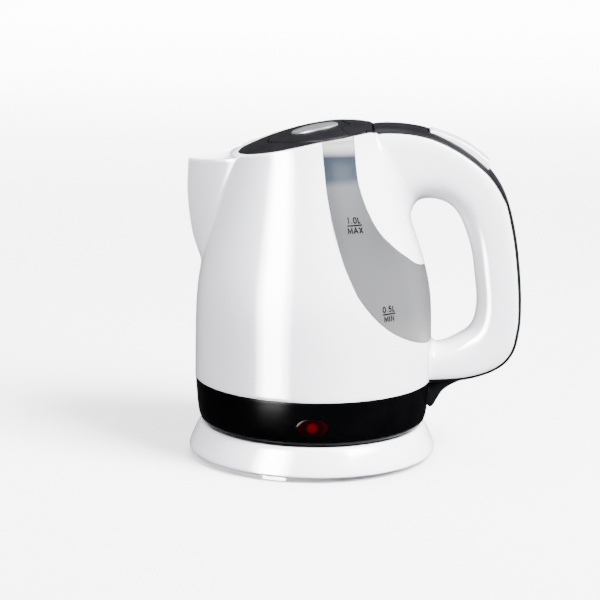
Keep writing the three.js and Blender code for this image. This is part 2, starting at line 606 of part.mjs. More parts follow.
function lid() {
  const rear = box([27.7, -60, 150], [80, 60, 215]);
  const roll = axleY(HINGE.x, HINGE.z, HINGE.roll, -HINGE.half, HINGE.half, 16);
  const neck = box([26, -HINGE.half, HINGE.z - 1], [HINGE.x, HINGE.half, HINGE.z + 1.3]);
  const round = disc(LID.x, 0, LID.radius, 100, 215);
  const plate = underDome(0).subtract(underDome(-LID.plate)).intersect(round);
  const seat = plan(beside(panelOutline, GAP, true), ...LID_ZONE)
    .subtract(underDome(-PANEL_THICK - GAP));
  const cover = plate.subtract(rear).add(neck.intersect(underDome(0))).add(roll).subtract(seat)
    .subtract(oval(GAP)).subtract(axleY(HINGE.x, HINGE.z, HINGE.pin + GAP, -30, 30));
  add("lid_cover", "black", biggest(cover));

  const panel = plan(panelOutline, ...LID_ZONE).intersect(underDome(0))
    .subtract(underDome(-PANEL_THICK));
  add("lid_panel", "black", panel.subtract(oval(GAP)));

  const cup = disc(LID.mouthX, 0, CUP.radius, ...LID_ZONE).intersect(underDome(-CUP.top))
    .subtract(underDome(-CUP.bottom));
  const inside = disc(LID.mouthX, 0, CUP.radius - CUP.wall, ...LID_ZONE)
    .subtract(underDome(-CUP.roof));
  const boltHole = box([-40, -5.4, 150], [-30, 5.4, 215]).intersect(underDome(-5))
    .subtract(underDome(-CUP.roof));
  add("lid_inner", "white", cup.subtract(inside).subtract(boltHole));

  const seal = disc(LID.mouthX, 0, CUP.radius + 1.6, ...LID_ZONE)
    .subtract(disc(LID.mouthX, 0, CUP.radius + GAP, 130, 216))
    .intersect(underDome(-9.4)).subtract(underDome(-10.9));
  add("lid_seal", "silicone", seal);
}

// ---------- button and latch ----------
function button() {
  const cap = oval(0).intersect(underDome(BUTTON.proud)).subtract(underDome(-1.6));
  const stem = box([-3.4, -3, 175], [-0.4, 3, 186]).intersect(underDome(-1)).subtract(underDome(-5.6));
  add("lid_button", "silver", cap.add(stem));
  const spring = disc(6, 0, 2.4, 180.7, 187.1, 16).subtract(disc(6, 0, 1.6, 170, 190, 16));
  add("button_spring", "steel", spring);
  const bolt = box([-38.4, -5, 150], [-8, 5, 215]).intersect(underDome(-5.4)).subtract(underDome(-8));
  add("latch_slider", "grey", bolt);
}

powerBase();
underBody();
heater();
jug();
filter();
body();
handle();
steamSwitch();
lid();
button();

export default group;
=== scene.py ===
"""The looks of a one litre electric kettle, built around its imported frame.

Shapes are worked out in millimetres in the frame's axes (+Z up, spout to -X, handle to +X) and
turned into metres when a mesh is made.
"""

import json
import math

import bmesh
import bpy
import numpy as np
from mathutils import Matrix, Vector


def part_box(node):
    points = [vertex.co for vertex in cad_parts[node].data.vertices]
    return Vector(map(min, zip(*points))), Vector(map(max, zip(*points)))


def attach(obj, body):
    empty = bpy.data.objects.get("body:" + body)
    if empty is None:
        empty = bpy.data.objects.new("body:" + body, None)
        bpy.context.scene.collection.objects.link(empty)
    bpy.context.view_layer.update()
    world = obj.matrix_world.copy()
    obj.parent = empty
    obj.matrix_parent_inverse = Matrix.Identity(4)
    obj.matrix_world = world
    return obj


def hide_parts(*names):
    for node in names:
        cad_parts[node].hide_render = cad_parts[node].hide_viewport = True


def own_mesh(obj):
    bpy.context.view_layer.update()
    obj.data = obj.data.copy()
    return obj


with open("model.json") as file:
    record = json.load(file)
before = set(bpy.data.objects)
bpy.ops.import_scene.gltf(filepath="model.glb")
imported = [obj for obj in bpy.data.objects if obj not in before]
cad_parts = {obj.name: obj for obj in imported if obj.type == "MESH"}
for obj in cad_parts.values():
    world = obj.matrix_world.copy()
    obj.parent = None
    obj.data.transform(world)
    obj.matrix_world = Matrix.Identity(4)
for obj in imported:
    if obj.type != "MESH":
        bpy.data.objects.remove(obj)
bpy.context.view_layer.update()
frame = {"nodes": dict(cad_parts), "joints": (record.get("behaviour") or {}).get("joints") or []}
MM = 0.001


def node_box(name):
    """Lowest and highest corner of a CAD node, in millimetres."""
    low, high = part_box(name)
    return np.array(low) / MM, np.array(high) / MM


# ---------- sizes taken from the frame ----------
RING_LOW, RING_HIGH = node_box("skirt_ring")
RING_BOTTOM, RING_TOP, RING_RADIUS = RING_LOW[2], RING_HIGH[2], RING_HIGH[0]
BODY_BOTTOM = node_box("body_shell")[0][2]
BODY_RADIUS = node_box("body_shell")[1][0]
JUG_BOTTOM = node_box("inner_jug")[0][2]
BASE_RADIUS = node_box("base_cover")[1][0]
BASE_TOP = node_box("base_cover")[1][2]
BASE_BOTTOM = node_box("base_cover")[0][2]
LENS_LOW, LENS_HIGH = node_box("indicator_lens")
BUTTON_LOW, BUTTON_HIGH = node_box("lid_button")
ROCKER_HIGH = node_box("switch_rocker")[1]
SPRING_LOW, SPRING_HIGH = node_box("button_spring")
HINGE_X, _, HINGE_Z = [v / MM for v in next(
    j for j in frame["joints"] if j["name"] == "lid_hinge")["pos_m"]]

# ---------- the body's form, as in the frame ----------
WALL = 2.0
JUG_GAP = 2.3  # from the body's outside to the jug's outside
JUG_WALL = 1.8
TAPER_SLOPE, TAPER_START, TAPER_BLEND = 0.31, 100, 8
FLARE_START, FLARE_RATE = 172, 0.006  # the body widens again under its rim
LEAN = 0.19  # the section's centre moves to the spout as the body tapers
RIM_START, RIM_HEIGHT, RIM_FALL, RIM_EASE = 30, 188.9, 0.00482, 0.0000272
DIP_DEPTH = 0.6  # the rim dips a little between the spout and the hinge
DIP_START, DIP_GROWS, DIP_END, DIP_FADES = -44, 24, 46, 10
LID_X, LID_RADIUS, LID_DOME, LID_PLATE = -4.5, 39.4, 2.7, 2.4
LID_BACK = 27.6  # the lid's straight rear edge, in front of its hinge
WELL_RADIUS, WELL_DEPTH, WELL_WALL = LID_RADIUS + 0.25, 2.9, 2.7
MOUTH_X, MOUTH_RADIUS = -6, 34
LIP_TOP, LIP_THICK = 3, 2.2  # the jug's lip, under the rim
PANE_IN = 0.2  # from the body's outside to the window's face
PANE_SEAM = 0.12
KNUCKLE_RADIUS, KNUCKLE_HALF = 1.5, 15.6  # the lid's roll round its hinge pin
EAR_INSIDE = KNUCKLE_HALF + 0.3
FIRST_GUESS = 172.0  # where the search for a height on the rim starts
EVEN = 55  # millimetres for a radian round the body, to spread points evenly


def taper(z):
    return TAPER_SLOPE * TAPER_BLEND * np.log1p(np.exp((z - TAPER_START) / TAPER_BLEND))


def body_radius(z):
    return BODY_RADIUS - taper(z) + FLARE_RATE * np.maximum(z - FLARE_START, 0) ** 2


def body_centre(z):
    return -LEAN * taper(z)


def rim(x):
    """Height of the body's sloping rim at x."""
    d = np.maximum(RIM_START - x, 0)
    dip = DIP_DEPTH * np.clip((x - DIP_START) / DIP_GROWS, 0, 1) * np.clip((DIP_END - x) / DIP_FADES, 0, 1)
    return RIM_HEIGHT - RIM_FALL * d**2 + RIM_EASE * d**3 - dip


def on_body(angle, z, grow=0.0):
    """Points at an angle round the body's axis (0 at the handle, negative to the front side)."""
    angle, z = np.broadcast_arrays(angle, z)
    r = body_radius(z) + grow
    return np.stack([body_centre(z) + r * np.cos(angle), r * np.sin(angle), z], -1)


def body_angle(x, z):
    """The angle, from -pi to 0, at which the body's surface passes x at height z."""
    return -np.arccos(np.clip((x - body_centre(z)) / body_radius(z), -1, 1))


def with_ends(points):
    """The points with one more past each end, so that a smooth curve can start and stop."""
    p = np.array(points, float)
    return np.vstack([2 * p[0] - p[1], p, 2 * p[-1] - p[-2]])


def between(four, t):
    """Where the smooth curve through four points passes from the second (t 0) to the third (t 1)."""
    a, b, c, d = four
    return 0.5 * (2 * b + (c - a) * t + (2 * a - 5 * b + 4 * c - d) * t**2
                  + (3 * b - a - 3 * c + d) * t**3)


def spline(points, count):
    """A smooth curve through points, count of them evenly spread along it."""
    p = with_ends(points)
    t = np.linspace(0, 1, 24, endpoint=False)[:, None]
    out = [between(p[i : i + 4], t) for i in range(len(p) - 3)]
    return respace(np.vstack(out + [p[-2][None]]), count)


def respace(line, count):
    steps = np.r_[0, np.cumsum(np.linalg.norm(np.diff(line, axis=0), axis=1))]
    want = np.linspace(0, steps[-1], count)
    return np.stack([np.interp(want, steps, line[:, k]) for k in range(line.shape[1])], -1)


def lerp(a, b, t):
    return a + (b - a) * t


def circle(count):
    """Angles evenly spread once round."""
    return np.linspace(0, 2 * math.pi, count, endpoint=False)


def ellipse(middle, wide, high, count):
    """An outline round middle, half as wide and high as its whole."""
    angle = circle(count)
    return np.column_stack([middle[0] + wide * np.cos(angle), middle[1] + high * np.sin(angle)])


def mirrored(line):
    """A line of (angle, height) carried on round the back to the other side."""
    return np.vstack([line, np.column_stack([-line[-2::-1, 0], line[-2::-1, 1]])])


# ---------- meshes ----------
SHARP = 35  # edges steeper than this many degrees stay crisp


def smooth_mesh(name, points, faces, sharp=SHARP):
    """An object from millimetre points."""
    mesh = bpy.data.meshes.new(name)
    mesh.from_pydata((np.asarray(points, float).reshape(-1, 3) * MM).tolist(), [], faces)
    mesh.validate()
    obj = bpy.data.objects.new(name, mesh)
    bpy.context.scene.collection.objects.link(obj)
    fix_normals(obj, sharp)
    return obj


def fix_normals(obj, sharp):
    work = bmesh.new()
    work.from_mesh(obj.data)
    bmesh.ops.remove_doubles(work, verts=work.verts, dist=1e-7)
    bmesh.ops.recalc_face_normals(work, faces=work.faces)
    if work.calc_volume(signed=True) < 0:
        bmesh.ops.reverse_faces(work, faces=work.faces)
    work.to_mesh(obj.data)
    work.free()
    obj.data.shade_smooth()
    obj.data.set_sharp_from_angle(angle=math.radians(sharp))


def grid(rows, cols, closed):
    """Quads between rows of cols points, each row a loop and the rows one too where closed."""
    faces = []
    for i in range(rows if closed else rows - 1):
        for j in range(cols):
            a, b = i * cols + j, i * cols + (j + 1) % cols
            c, d = ((i + 1) % rows) * cols + (j + 1) % cols, ((i + 1) % rows) * cols + j
            faces.append((a, b, c, d))
    return faces


def sweep(name, loops, closed=False, sharp=SHARP):
    """Closed loops of equal length joined one to the next, with flat ends unless closed."""
    loops = np.asarray(loops, float)
    rows, cols = loops.shape[:2]
    faces = grid(rows, cols, closed)
    if not closed:
        faces += [tuple(range(cols)), tuple(range((rows - 1) * cols, rows * cols))]
    return smooth_mesh(name, loops, faces, sharp)


def turned(name, profile, sharp=SHARP):
    """A solid turned about Z from a closed profile of (radius, height)."""
    r, z = np.array(profile, float).T
    loops = [np.stack([r * math.cos(a), r * math.sin(a), z], -1) for a in circle(256)]
    return sweep(name, loops, True, sharp)


def ladder(name, loops):
    """As sweep, for thin loops: each end is closed by quads between the loop's two halves."""
    loops = np.asarray(loops, float)
    rows, cols = loops.shape[:2]
    faces = grid(rows, cols, False)
    for start in (0, (rows - 1) * cols):
        for k in range(cols // 2 - 1):
            faces.append((start + k, start + k + 1, start + cols - 2 - k, start + cols - 1 - k))
    return smooth_mesh(name, loops, faces)


def bevel(obj, width, segments=3, angle=40):
    mod = obj.modifiers.new("edges", "BEVEL")
    mod.width = width * MM
    mod.segments = segments
    mod.limit_method = "ANGLE"
    mod.angle_limit = math.radians(angle)
    mod.harden_normals = True
    apply_modifiers(obj)


def apply_modifiers(obj):
    graph = bpy.context.evaluated_depsgraph_get()
    mesh = bpy.data.meshes.new_from_object(obj.evaluated_get(graph))
    obj.modifiers.clear()
    obj.data = mesh


def cut(obj, tool, operation="DIFFERENCE"):
    """obj joined with, cut by or kept within tool, which is used up."""
    mod = obj.modifiers.new("cut", "BOOLEAN")
    mod.object = tool
    mod.operation = operation
    mod.solver = "MANIFOLD"
    bpy.context.view_layer.update()
    apply_modifiers(obj)
    bpy.data.objects.remove(tool)
    obj.data.set_sharp_from_angle(angle=math.radians(SHARP))


def side_prism(outline, half, name="tool", middle=0):
    """A side outline in X and Z, half thick to both sides of middle in Y."""
    outline = np.array(outline, float)
    loops = [np.stack([outline[:, 0], np.full(len(outline), y), outline[:, 1]], -1)
             for y in (middle - half, middle + half)]
    return sweep(name, loops)


def plan_prism(outline, low, high):
    """A plan outline in X and Y, from low to high in Z."""
    outline = np.array(outline, float)
    return sweep("tool", [np.column_stack([outline, np.full(len(outline), z)]) for z in (low, high)])


def body_tool(grow, low, high):
    """The body's form between two heights, used to cut with."""
    angle = circle(192)
    return sweep("tool", [on_body(angle, z, grow) for z in np.linspace(low, high, 48)])


# ---------- materials ----------
NOISE_LOW, NOISE_HIGH = 0.3, 0.7  # most of what a noise gives lies between these
COAT_IOR = 1.8


def new_material(name):
    material = bpy.data.materials.new(name)
    material.use_nodes = True
    return material, material.node_tree


def feed(tree, node, inputs):
    """Gives each named input of a node its value, or links it to another node's output."""
    for key, value in inputs.items():
        if isinstance(value, bpy.types.NodeSocket):
            tree.links.new(value, node.inputs[key])
        else:
            node.inputs[key].default_value = value


def add(tree, kind, inputs, output, **settings):
    """One output of a new node."""
    node = tree.nodes.new("ShaderNode" + kind)
    for key, value in settings.items():
        setattr(node, key, value)
    feed(tree, node, inputs)
    return node.outputs[output]


def object_noise(tree, scale, detail, rough=0.5):
    place = add(tree, "TexCoord", {}, "Object")
    return add(tree, "TexNoise", {"Vector": place, "Scale": scale, "Detail": detail,
                                  "Roughness": rough}, "Fac")


def map_range(tree, value, low, high, to_low=0.0, to_high=1.0):
    return add(tree, "MapRange", {"Value": value, "From Min": low, "From Max": high, "To Min": to_low,
                                  "To Max": to_high}, "Result")


def ramp(tree, share, stops):
    color = add(tree, "ValToRGB", {"Fac": share}, "Color")
    elements = color.node.color_ramp.elements
    while len(elements) < len(stops):
        elements.new(0.5)
    for element, (position, stop) in zip(elements, stops):
        element.position = position
        element.color = (*stop, 1)
    return color


def drift(tree, noise, color, vary):
    """A colour that drifts by vary to both sides."""
    low, high = (np.clip(np.array(color) + side * np.array(vary), 0, 1) for side in (-1, 1))
    return ramp(tree, noise, [(NOISE_LOW, low), (NOISE_HIGH, high)])


def bump(tree, height, strength, distance=0.0001):
    return add(tree, "Bump", {"Height": height, "Strength": strength, "Distance": distance}, "Normal")


def plastic(name, color, vary, roughness, rough_vary, grain, grain_size, coat=0.0, coat_rough=0.05,
            mottle=60.0, shine=0.5):
    """Moulded plastic: slow colour drift, uneven gloss and a fine moulded grain."""
    material, tree = new_material(name)
    gloss = object_noise(tree, 25.0, 5.0, 0.6)
    feed(tree, tree.nodes["Principled BSDF"], {
        "Base Color": drift(tree, object_noise(tree, mottle, 3.0), color, vary),
        "Roughness": map_range(tree, gloss, NOISE_LOW, NOISE_HIGH, roughness - rough_vary,
                               roughness + rough_vary),
        "Normal": bump(tree, object_noise(tree, 1000.0 / grain_size, 2.0), grain),
        "Specular IOR Level": shine, "Coat Weight": coat, "Coat IOR": COAT_IOR,
        "Coat Roughness": coat_rough})
    return material


def metal(name, color, vary, roughness, streak):
    """Metal with fine drawn streaks along one axis."""
    material, tree = new_material(name)
    place = add(tree, "TexCoord", {}, "Object")
    stretched = add(tree, "Mapping", {"Vector": place, "Scale": streak}, "Vector")
    noise = add(tree, "TexNoise", {"Vector": stretched, "Scale": 120.0, "Detail": 4.0}, "Fac")
    feed(tree, tree.nodes["Principled BSDF"], {
        "Base Color": drift(tree, noise, color, vary), "Metallic": 1.0,
        "Roughness": map_range(tree, noise, NOISE_LOW, NOISE_HIGH, roughness * 0.75, roughness * 1.25),
        "Normal": bump(tree, noise, 0.2, 0.00005)})
    return material


WHITE = plastic("white_moulding", (0.84, 0.84, 0.895), 0.008, 0.2, 0.03, 0.05, 0.9, coat=0.6,
                coat_rough=0.13, shine=0.15)
BLACK = plastic("black_satin_moulding", (0.0045, 0.0045, 0.0054), 0.0012, 0.38, 0.04, 0.25, 0.25, shine=0.06)
RING_BLACK = plastic("black_polished_moulding", (0.0008, 0.0008, 0.001), 0.0003, 0.2, 0.03, 0.04, 0.8,
                     shine=0.016)
SILVER = plastic("silver_lacquer", (0.1, 0.102, 0.108), 0.01, 0.32, 0.04, 0.35, 0.18, coat=0.1)
GREY = plastic("grey_technical_moulding", (0.25, 0.26, 0.28), 0.02, 0.5, 0.05, 0.3, 0.3)
RUBBER = plastic("soft_rubber", (0.02, 0.02, 0.02), 0.006, 0.8, 0.06, 0.6, 0.3)
SILICONE = plastic("silicone", (0.66, 0.63, 0.57), 0.03, 0.55, 0.05, 0.3, 0.5)
WIRE = plastic("wire_sleeve", (0.26, 0.06, 0.045), (0.03, 0.01, 0.01), 0.6, 0.05, 0.5, 0.3)
INK = plastic("printed_ink", (0.002, 0.002, 0.0024), 0.0008, 0.5, 0.05, 0.3, 0.2, shine=0.02)
STEEL = metal("stainless_steel", (0.55, 0.55, 0.56), 0.05, 0.32, (1.0, 1.0, 18.0))
BRASS = metal("brass", (0.72, 0.53, 0.24), 0.05, 0.28, (1.0, 1.0, 12.0))


def painted_light_smoke_material():
    """Smoke moulding with its translucency painted: a pale band of painted light under the rim where light
    shows through its top, then a dark blue band that is a painted reflection of the water, and below it a
    dark tint that grows paler towards the bottom.
    """
    material, tree = new_material("smoke_moulding_painted_light")
    height = add(tree, "SeparateXYZ", {"Vector": add(tree, "TexCoord", {}, "Object")}, "Z")
    shift = add(tree, "Math", {0: object_noise(tree, 30.0, 3.0), 1: 0.004}, "Value", operation="MULTIPLY")
    height = add(tree, "Math", {0: height, 1: shift}, "Value", operation="ADD")
    feed(tree, tree.nodes["Principled BSDF"], {
        # painted light: the pale bands at the top are painted light under the rim, and the dark blue band
        # under them is a painted reflection of the water
        "Base Color": ramp(tree, map_range(tree, height, 0.05, 0.192), [
            (0.0, (0.17, 0.167, 0.163)), (0.3, (0.088, 0.088, 0.091)), (0.62, (0.055, 0.056, 0.059)),
            (0.8, (0.062, 0.065, 0.07)), (0.83, (0.018, 0.024, 0.034)), (0.91, (0.015, 0.02, 0.029)),
            (0.935, (0.2, 0.205, 0.215)), (0.955, (0.3, 0.295, 0.285)), (0.968, (0.23, 0.222, 0.212)),
            (0.98, (0.34, 0.33, 0.315))]),
        "Normal": bump(tree, object_noise(tree, 3000.0, 2.0), 0.08),
        "Roughness": 0.26, "Specular IOR Level": 0.07})
    return material


def lens_material():
    """Dark red lens that lets the lamp behind its centre show."""
    material, tree = new_material("red_lens")
    lens = (LENS_LOW + LENS_HIGH) / 2 * MM
    away = add(tree, "VectorMath", {0: add(tree, "TexCoord", {}, "Object"),
                                    1: (lens[0], -RING_RADIUS * MM, lens[2])}, "Vector", operation="SUBTRACT")
    away = add(tree, "VectorMath", {0: away}, "Value", operation="LENGTH")
    feed(tree, tree.nodes["Principled BSDF"], {
        "Base Color": ramp(tree, map_range(tree, away, 0.0, 0.009), [
            (0.0, (0.05, 0.0006, 0.0016)), (0.26, (0.036, 0.0005, 0.0014)), (0.37, (0.005, 0.0003, 0.0006)),
            (0.5, (0.0026, 0.0002, 0.0004)), (0.9, (0.0075, 0.0003, 0.001))]),
        "Roughness": 0.14, "Specular IOR Level": 0.03})
    return material


SMOKE_PAINTED_LIGHT = painted_light_smoke_material()
LENS = lens_material()


def finish_piece(obj, name, material, body, slot, *replaced):
    obj.name = name
    obj.data.name = name
    obj.data.materials.clear()
    obj.data.materials.append(material)
    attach(obj, body)
    if replaced:
        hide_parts(*replaced)


# ---------- spout ----------
SPOUT_LOW = 108
KEEL = spline([(-63.4, SPOUT_LOW), (-65.2, 113.5), (-69.2, 125.5), (-71.4, 139), (-72.5, 153), (-71.6, 176)],
              60)
SPOUT_HALF, SPOUT_ROOT, SPOUT_RISE = 21.8, 110, 62  # its half width grows from the root up
SPOUT_BULGE, SPOUT_POINT = 1.25, 0.8  # how full and how pointed a level section is
CREASE_BLEND = 0.4
POUR_TIP_X, POUR_TIP_HEIGHT, POUR_SLOPE = -71.8, 168.7, 3.3 / 25.5


def spout_keel(z):
    return np.interp(z, KEEL[:, 1], KEEL[:, 0])


def spout_half(z):
    return SPOUT_HALF * np.sqrt(np.maximum(z - SPOUT_ROOT, 0.01) / SPOUT_RISE)


def spout_outline(u, z, inset=0.0):
    """Distance ahead of the body's axis and half width, from the crease (u 0) to the keel (u 1)."""
    half = np.maximum(spout_half(z) - inset, 0.2)
    crease = np.sqrt(body_radius(z) ** 2 - half**2)
    tip = body_centre(z) - spout_keel(z) - 1.5 * inset
    return lerp(crease, tip, u), half * np.maximum(1 - u**SPOUT_BULGE, 0) ** SPOUT_POINT


def crease_angle(z):
    """The angle from the spout's middle at which the spout leaves the round body."""
    return np.arcsin(np.clip(spout_half(z) / body_radius(z), 0, 1))


def off_spout(angle):
    return np.abs(math.pi - np.abs(angle))


def outer_radius(angle, z):
    """Distance of the white body's outside from its axis, with the spout blended in."""
    off = off_spout(angle)
    low, high = np.zeros_like(z), np.ones_like(z)
    for _ in range(40):
        u = (low + high) / 2
        ahead, across = spout_outline(u, z)
        wide = np.arctan2(across, ahead) > off
        low, high = np.where(wide, u, low), np.where(wide, high, u)
    ahead, across = spout_outline((low + high) / 2, z)
    crease = crease_angle(z)
    round_part = body_radius(z)
    proud = np.where(off < crease, np.hypot(ahead, across) - round_part, (crease - off) * 30)
    proud = 0.5 * (proud + np.sqrt(proud**2 + CREASE_BLEND**2)) * near_spout(off, crease)
    return round_part + np.where(z < SPOUT_LOW, 0, proud)


def near_spout(off, crease):
    """1 on the spout and beside it, fading to 0 on the round body."""
    return np.clip((crease * 1.6 + 0.08 - off) / 0.08, 0, 1)


def spout_top(x):
    """Height of the pouring lip at x."""
    return POUR_TIP_HEIGHT + (x - POUR_TIP_X) * POUR_SLOPE


# ---------- edges of the water window ----------
# Both in side view, as (x, z), from above the rim to behind the body.
FRONT_EDGE = spline([(3.4, 195), (3.6, 183), (4.7, 171), (7.7, 152), (12.9, 130), (23.2, 106), (41.3, 84),
                     (65.7, 68.7), (92, 58)], 400)
REAR_EDGE = spline([(20.1, 195), (23.1, 168), (25.8, 157), (30.1, 146.5), (36.1, 136.2), (42.9, 128.6),
                    (51.5, 120.6), (61.5, 112.5), (92, 96)], 400)


def edge_on_body(edge, count):
    """A window edge as (angle, height) on the near side, from the rim down to the back."""
    x, z = edge.T
    on = (z < rim(x)) & (x < body_centre(z) + body_radius(z))
    first = np.argmax(on)
    last = first + np.argmin(on[first:])
    x, z = x[first:last], z[first:last]
    line = np.column_stack([body_angle(x, z), z])
    x_top = np.interp(0, (rim(edge[:, 0]) - edge[:, 1])[: first + 2], edge[: first + 2, 0])
    z_top = rim(x_top)
    back = edge[last]
    line = np.vstack([[body_angle(x_top, z_top), z_top], line, [0.0, back[1]]])
    return respace(line * [EVEN, 1], count) / [EVEN, 1]


# ---------- white body ----------
SPOUT_SPAN = 0.42  # radians to each side of the spout's middle, with columns close together


def body_shell():
    """White outer moulding: one grid of columns from the black ring up to its top edge."""
    edge = edge_on_body(FRONT_EDGE, 120)
    start = edge[0, 0]
    on_spout = -math.pi + SPOUT_SPAN * np.linspace(0, 1, 36) ** 1.3
    others = np.linspace(-math.pi + SPOUT_SPAN, start, 110)[1:-1]
    rim_angle = np.r_[on_spout, others]
    rim_z = np.full(len(rim_angle), FIRST_GUESS)
    for _ in range(30):
        r = outer_radius(rim_angle, rim_z)
        x = body_centre(rim_z) + r * np.cos(rim_angle)
        lip = np.clip((crease_angle(rim_z) * 1.08 - off_spout(rim_angle)) / 0.05, 0, 1)
        rim_z = lerp(rim(x), spout_top(x), lip)
    top_angle = np.r_[rim_angle, edge[:, 0]]
    top_z = np.r_[rim_z, edge[:, 1]]
    on_rim = np.r_[np.ones(len(rim_angle), bool), np.zeros(len(edge), bool)]
    low_angle = np.r_[rim_angle, np.linspace(start, 0, len(edge))]
    # the far side mirrors the near side
    top_angle = np.r_[top_angle, -top_angle[-2:0:-1]]
    low_angle = np.r_[low_angle, -low_angle[-2:0:-1]]
    top_z = np.r_[top_z, top_z[-2:0:-1]]
    on_rim = np.r_[on_rim, on_rim[-2:0:-1]]
    t = np.linspace(0, 1, 64)[None, :]
    angle = lerp(low_angle[:, None], top_angle[:, None], t)
    z = lerp(BODY_BOTTOM, top_z[:, None], t)
    r = outer_radius(angle, z)
    outer = np.stack([body_centre(z) + r * np.cos(angle), r * np.sin(angle), z], -1)
    # over the rim, down the well's wall and back out under it, or straight in beside the window
    well_x = LID_X + WELL_RADIUS * np.cos(top_angle)
    well = np.column_stack([well_x, WELL_RADIUS * np.sin(top_angle), rim(well_x)])
    over = np.where(on_rim[:, None], well, on_body(top_angle, top_z, -WALL))
    down = np.where(on_rim[:, None], well - [0, 0, WELL_WALL], on_body(
        lerp(top_angle, low_angle, 0.01), lerp(top_z, BODY_BOTTOM, 0.01), -WALL))
    under_z = np.where(on_rim, rim(well_x) - WELL_DEPTH, lerp(top_z, BODY_BOTTOM, 0.02))
    under = on_body(np.where(on_rim, top_angle, lerp(top_angle, low_angle, 0.02)), under_z, -WALL)
    s = np.linspace(0.05, 1, 24)[None, :]
    inner = on_body(lerp(top_angle[:, None], low_angle[:, None], s),
                    lerp(under_z[:, None], BODY_BOTTOM, s), -WALL)
    loops = np.concatenate([outer, over[:, None], down[:, None], under[:, None], inner], 1)
    shell = sweep("body_shell_", loops, closed=True)
    bevel(shell, 0.5, 3, 50)
    cut(shell, channel_tool())
    cut(shell, pour_tool(-WALL - 1))
    finish_piece(shell, "white_body", WHITE, "jug", "white_plastic", "body_shell")


def channel_tool():
    """The hollow of the spout, in front of the body's own wall."""
    levels = np.linspace(117, 182, 40)
    u = np.r_[np.linspace(0, 0.9, 20), 0.96, 1.0]
    loops = []
    for z in levels:
        ahead, across = spout_outline(u, z, WALL)
        x = body_centre(z) - ahead
        half = across[0]
        back_y = np.linspace(-half, half, 14)[1:-1]
        back_x = body_centre(z) - np.sqrt((body_radius(z) - 0.3) ** 2 - back_y**2)
        plan = np.vstack([np.column_stack([x, across]), np.column_stack([x, -across])[-2::-1],
                          np.column_stack([back_x, back_y])])
        loops.append(np.column_stack([plan, np.full(len(plan), z)]))
    return sweep("tool", loops)


def pour_tool(inner):
    """The opening from the jug into the spout, as a thick patch of the body's wall."""
    across = np.linspace(-9.5, 9.5, 12)
    loops = []
    for z in np.linspace(138, 161, 16):
        angle = math.pi - np.arcsin(across / body_radius(z))
        loops.append(np.vstack([on_body(angle, z, 0.6), on_body(angle, z, inner)[::-1]]))
    return sweep("tool", loops)


# ---------- jug and water window ----------
def inner_jug():
    """Smoke moulding inside the white body, with its lip round the mouth."""
    angle = np.linspace(-math.pi, math.pi, 180, endpoint=False)
    top = np.full(len(angle), FIRST_GUESS)
    for _ in range(20):
        top = rim(on_body(angle, top, -JUG_GAP)[:, 0]) - LIP_TOP
    t = np.linspace(0, 1, 40)[None, :]
    outer = on_body(angle[:, None], lerp(JUG_BOTTOM, top[:, None], t), -JUG_GAP)
    mouth = np.column_stack([MOUTH_X + MOUTH_RADIUS * np.cos(angle), MOUTH_RADIUS * np.sin(angle)])
    lip_top = np.column_stack([mouth, rim(mouth[:, 0]) - LIP_TOP])
    lip_low = lip_top - [0, 0, LIP_THICK]
    inset, low = -JUG_GAP - JUG_WALL, top - LIP_THICK
    back = on_body(angle, low, inset)
    s = np.linspace(0.03, 1, 30)[None, :]
    inner = on_body(angle[:, None], lerp(low[:, None], JUG_BOTTOM, s), inset)
    loops = np.concatenate([outer, lip_top[:, None], lip_low[:, None], back[:, None], inner], 1)
    jug = sweep("jug_", loops, closed=True)
    bevel(jug, 0.4, 2, 50)
    cut(jug, pour_tool(inset - 1))
    finish_piece(jug, "smoke_jug", SMOKE_PAINTED_LIGHT, "jug", "smoke_window", "inner_jug")


def lid_well():
    """The round well that the lid lies in, from the jug's lip up."""
    plan = ellipse((LID_X, 0), WELL_RADIUS, WELL_RADIUS, 120)
    return sweep("tool", [np.column_stack([plan, rim(plan[:, 0]) + h]) for h in (-WELL_DEPTH, 9)])


def water_window():
    """The crescent panes, one moulding that runs round the back under the handle."""
    front = mirrored(edge_on_body(FRONT_EDGE, 140))
    rear = mirrored(edge_on_body(REAR_EDGE, 140))
    loops = []
    t = np.r_[0.0, np.linspace(0.03, 0.97, 12), 1.0]
    for f, g in zip(front, rear):
        width = math.hypot((f[0] - g[0]) * EVEN, f[1] - g[1])
        s = lerp(PANE_SEAM / width, 1 - PANE_SEAM / width, t)
        angle, z = lerp(f[0], g[0], s), lerp(f[1], g[1], s)
        loops.append(np.vstack([on_body(angle, z, -PANE_IN), on_body(angle, z, -JUG_GAP + 0.02)[::-1]]))
    pane = ladder("window_", loops)
    bevel(pane, 0.25, 2, 50)
    cut(pane, lid_well())
    finish_piece(pane, "water_window", SMOKE_PAINTED_LIGHT, "jug", "smoke_window", "inner_jug")


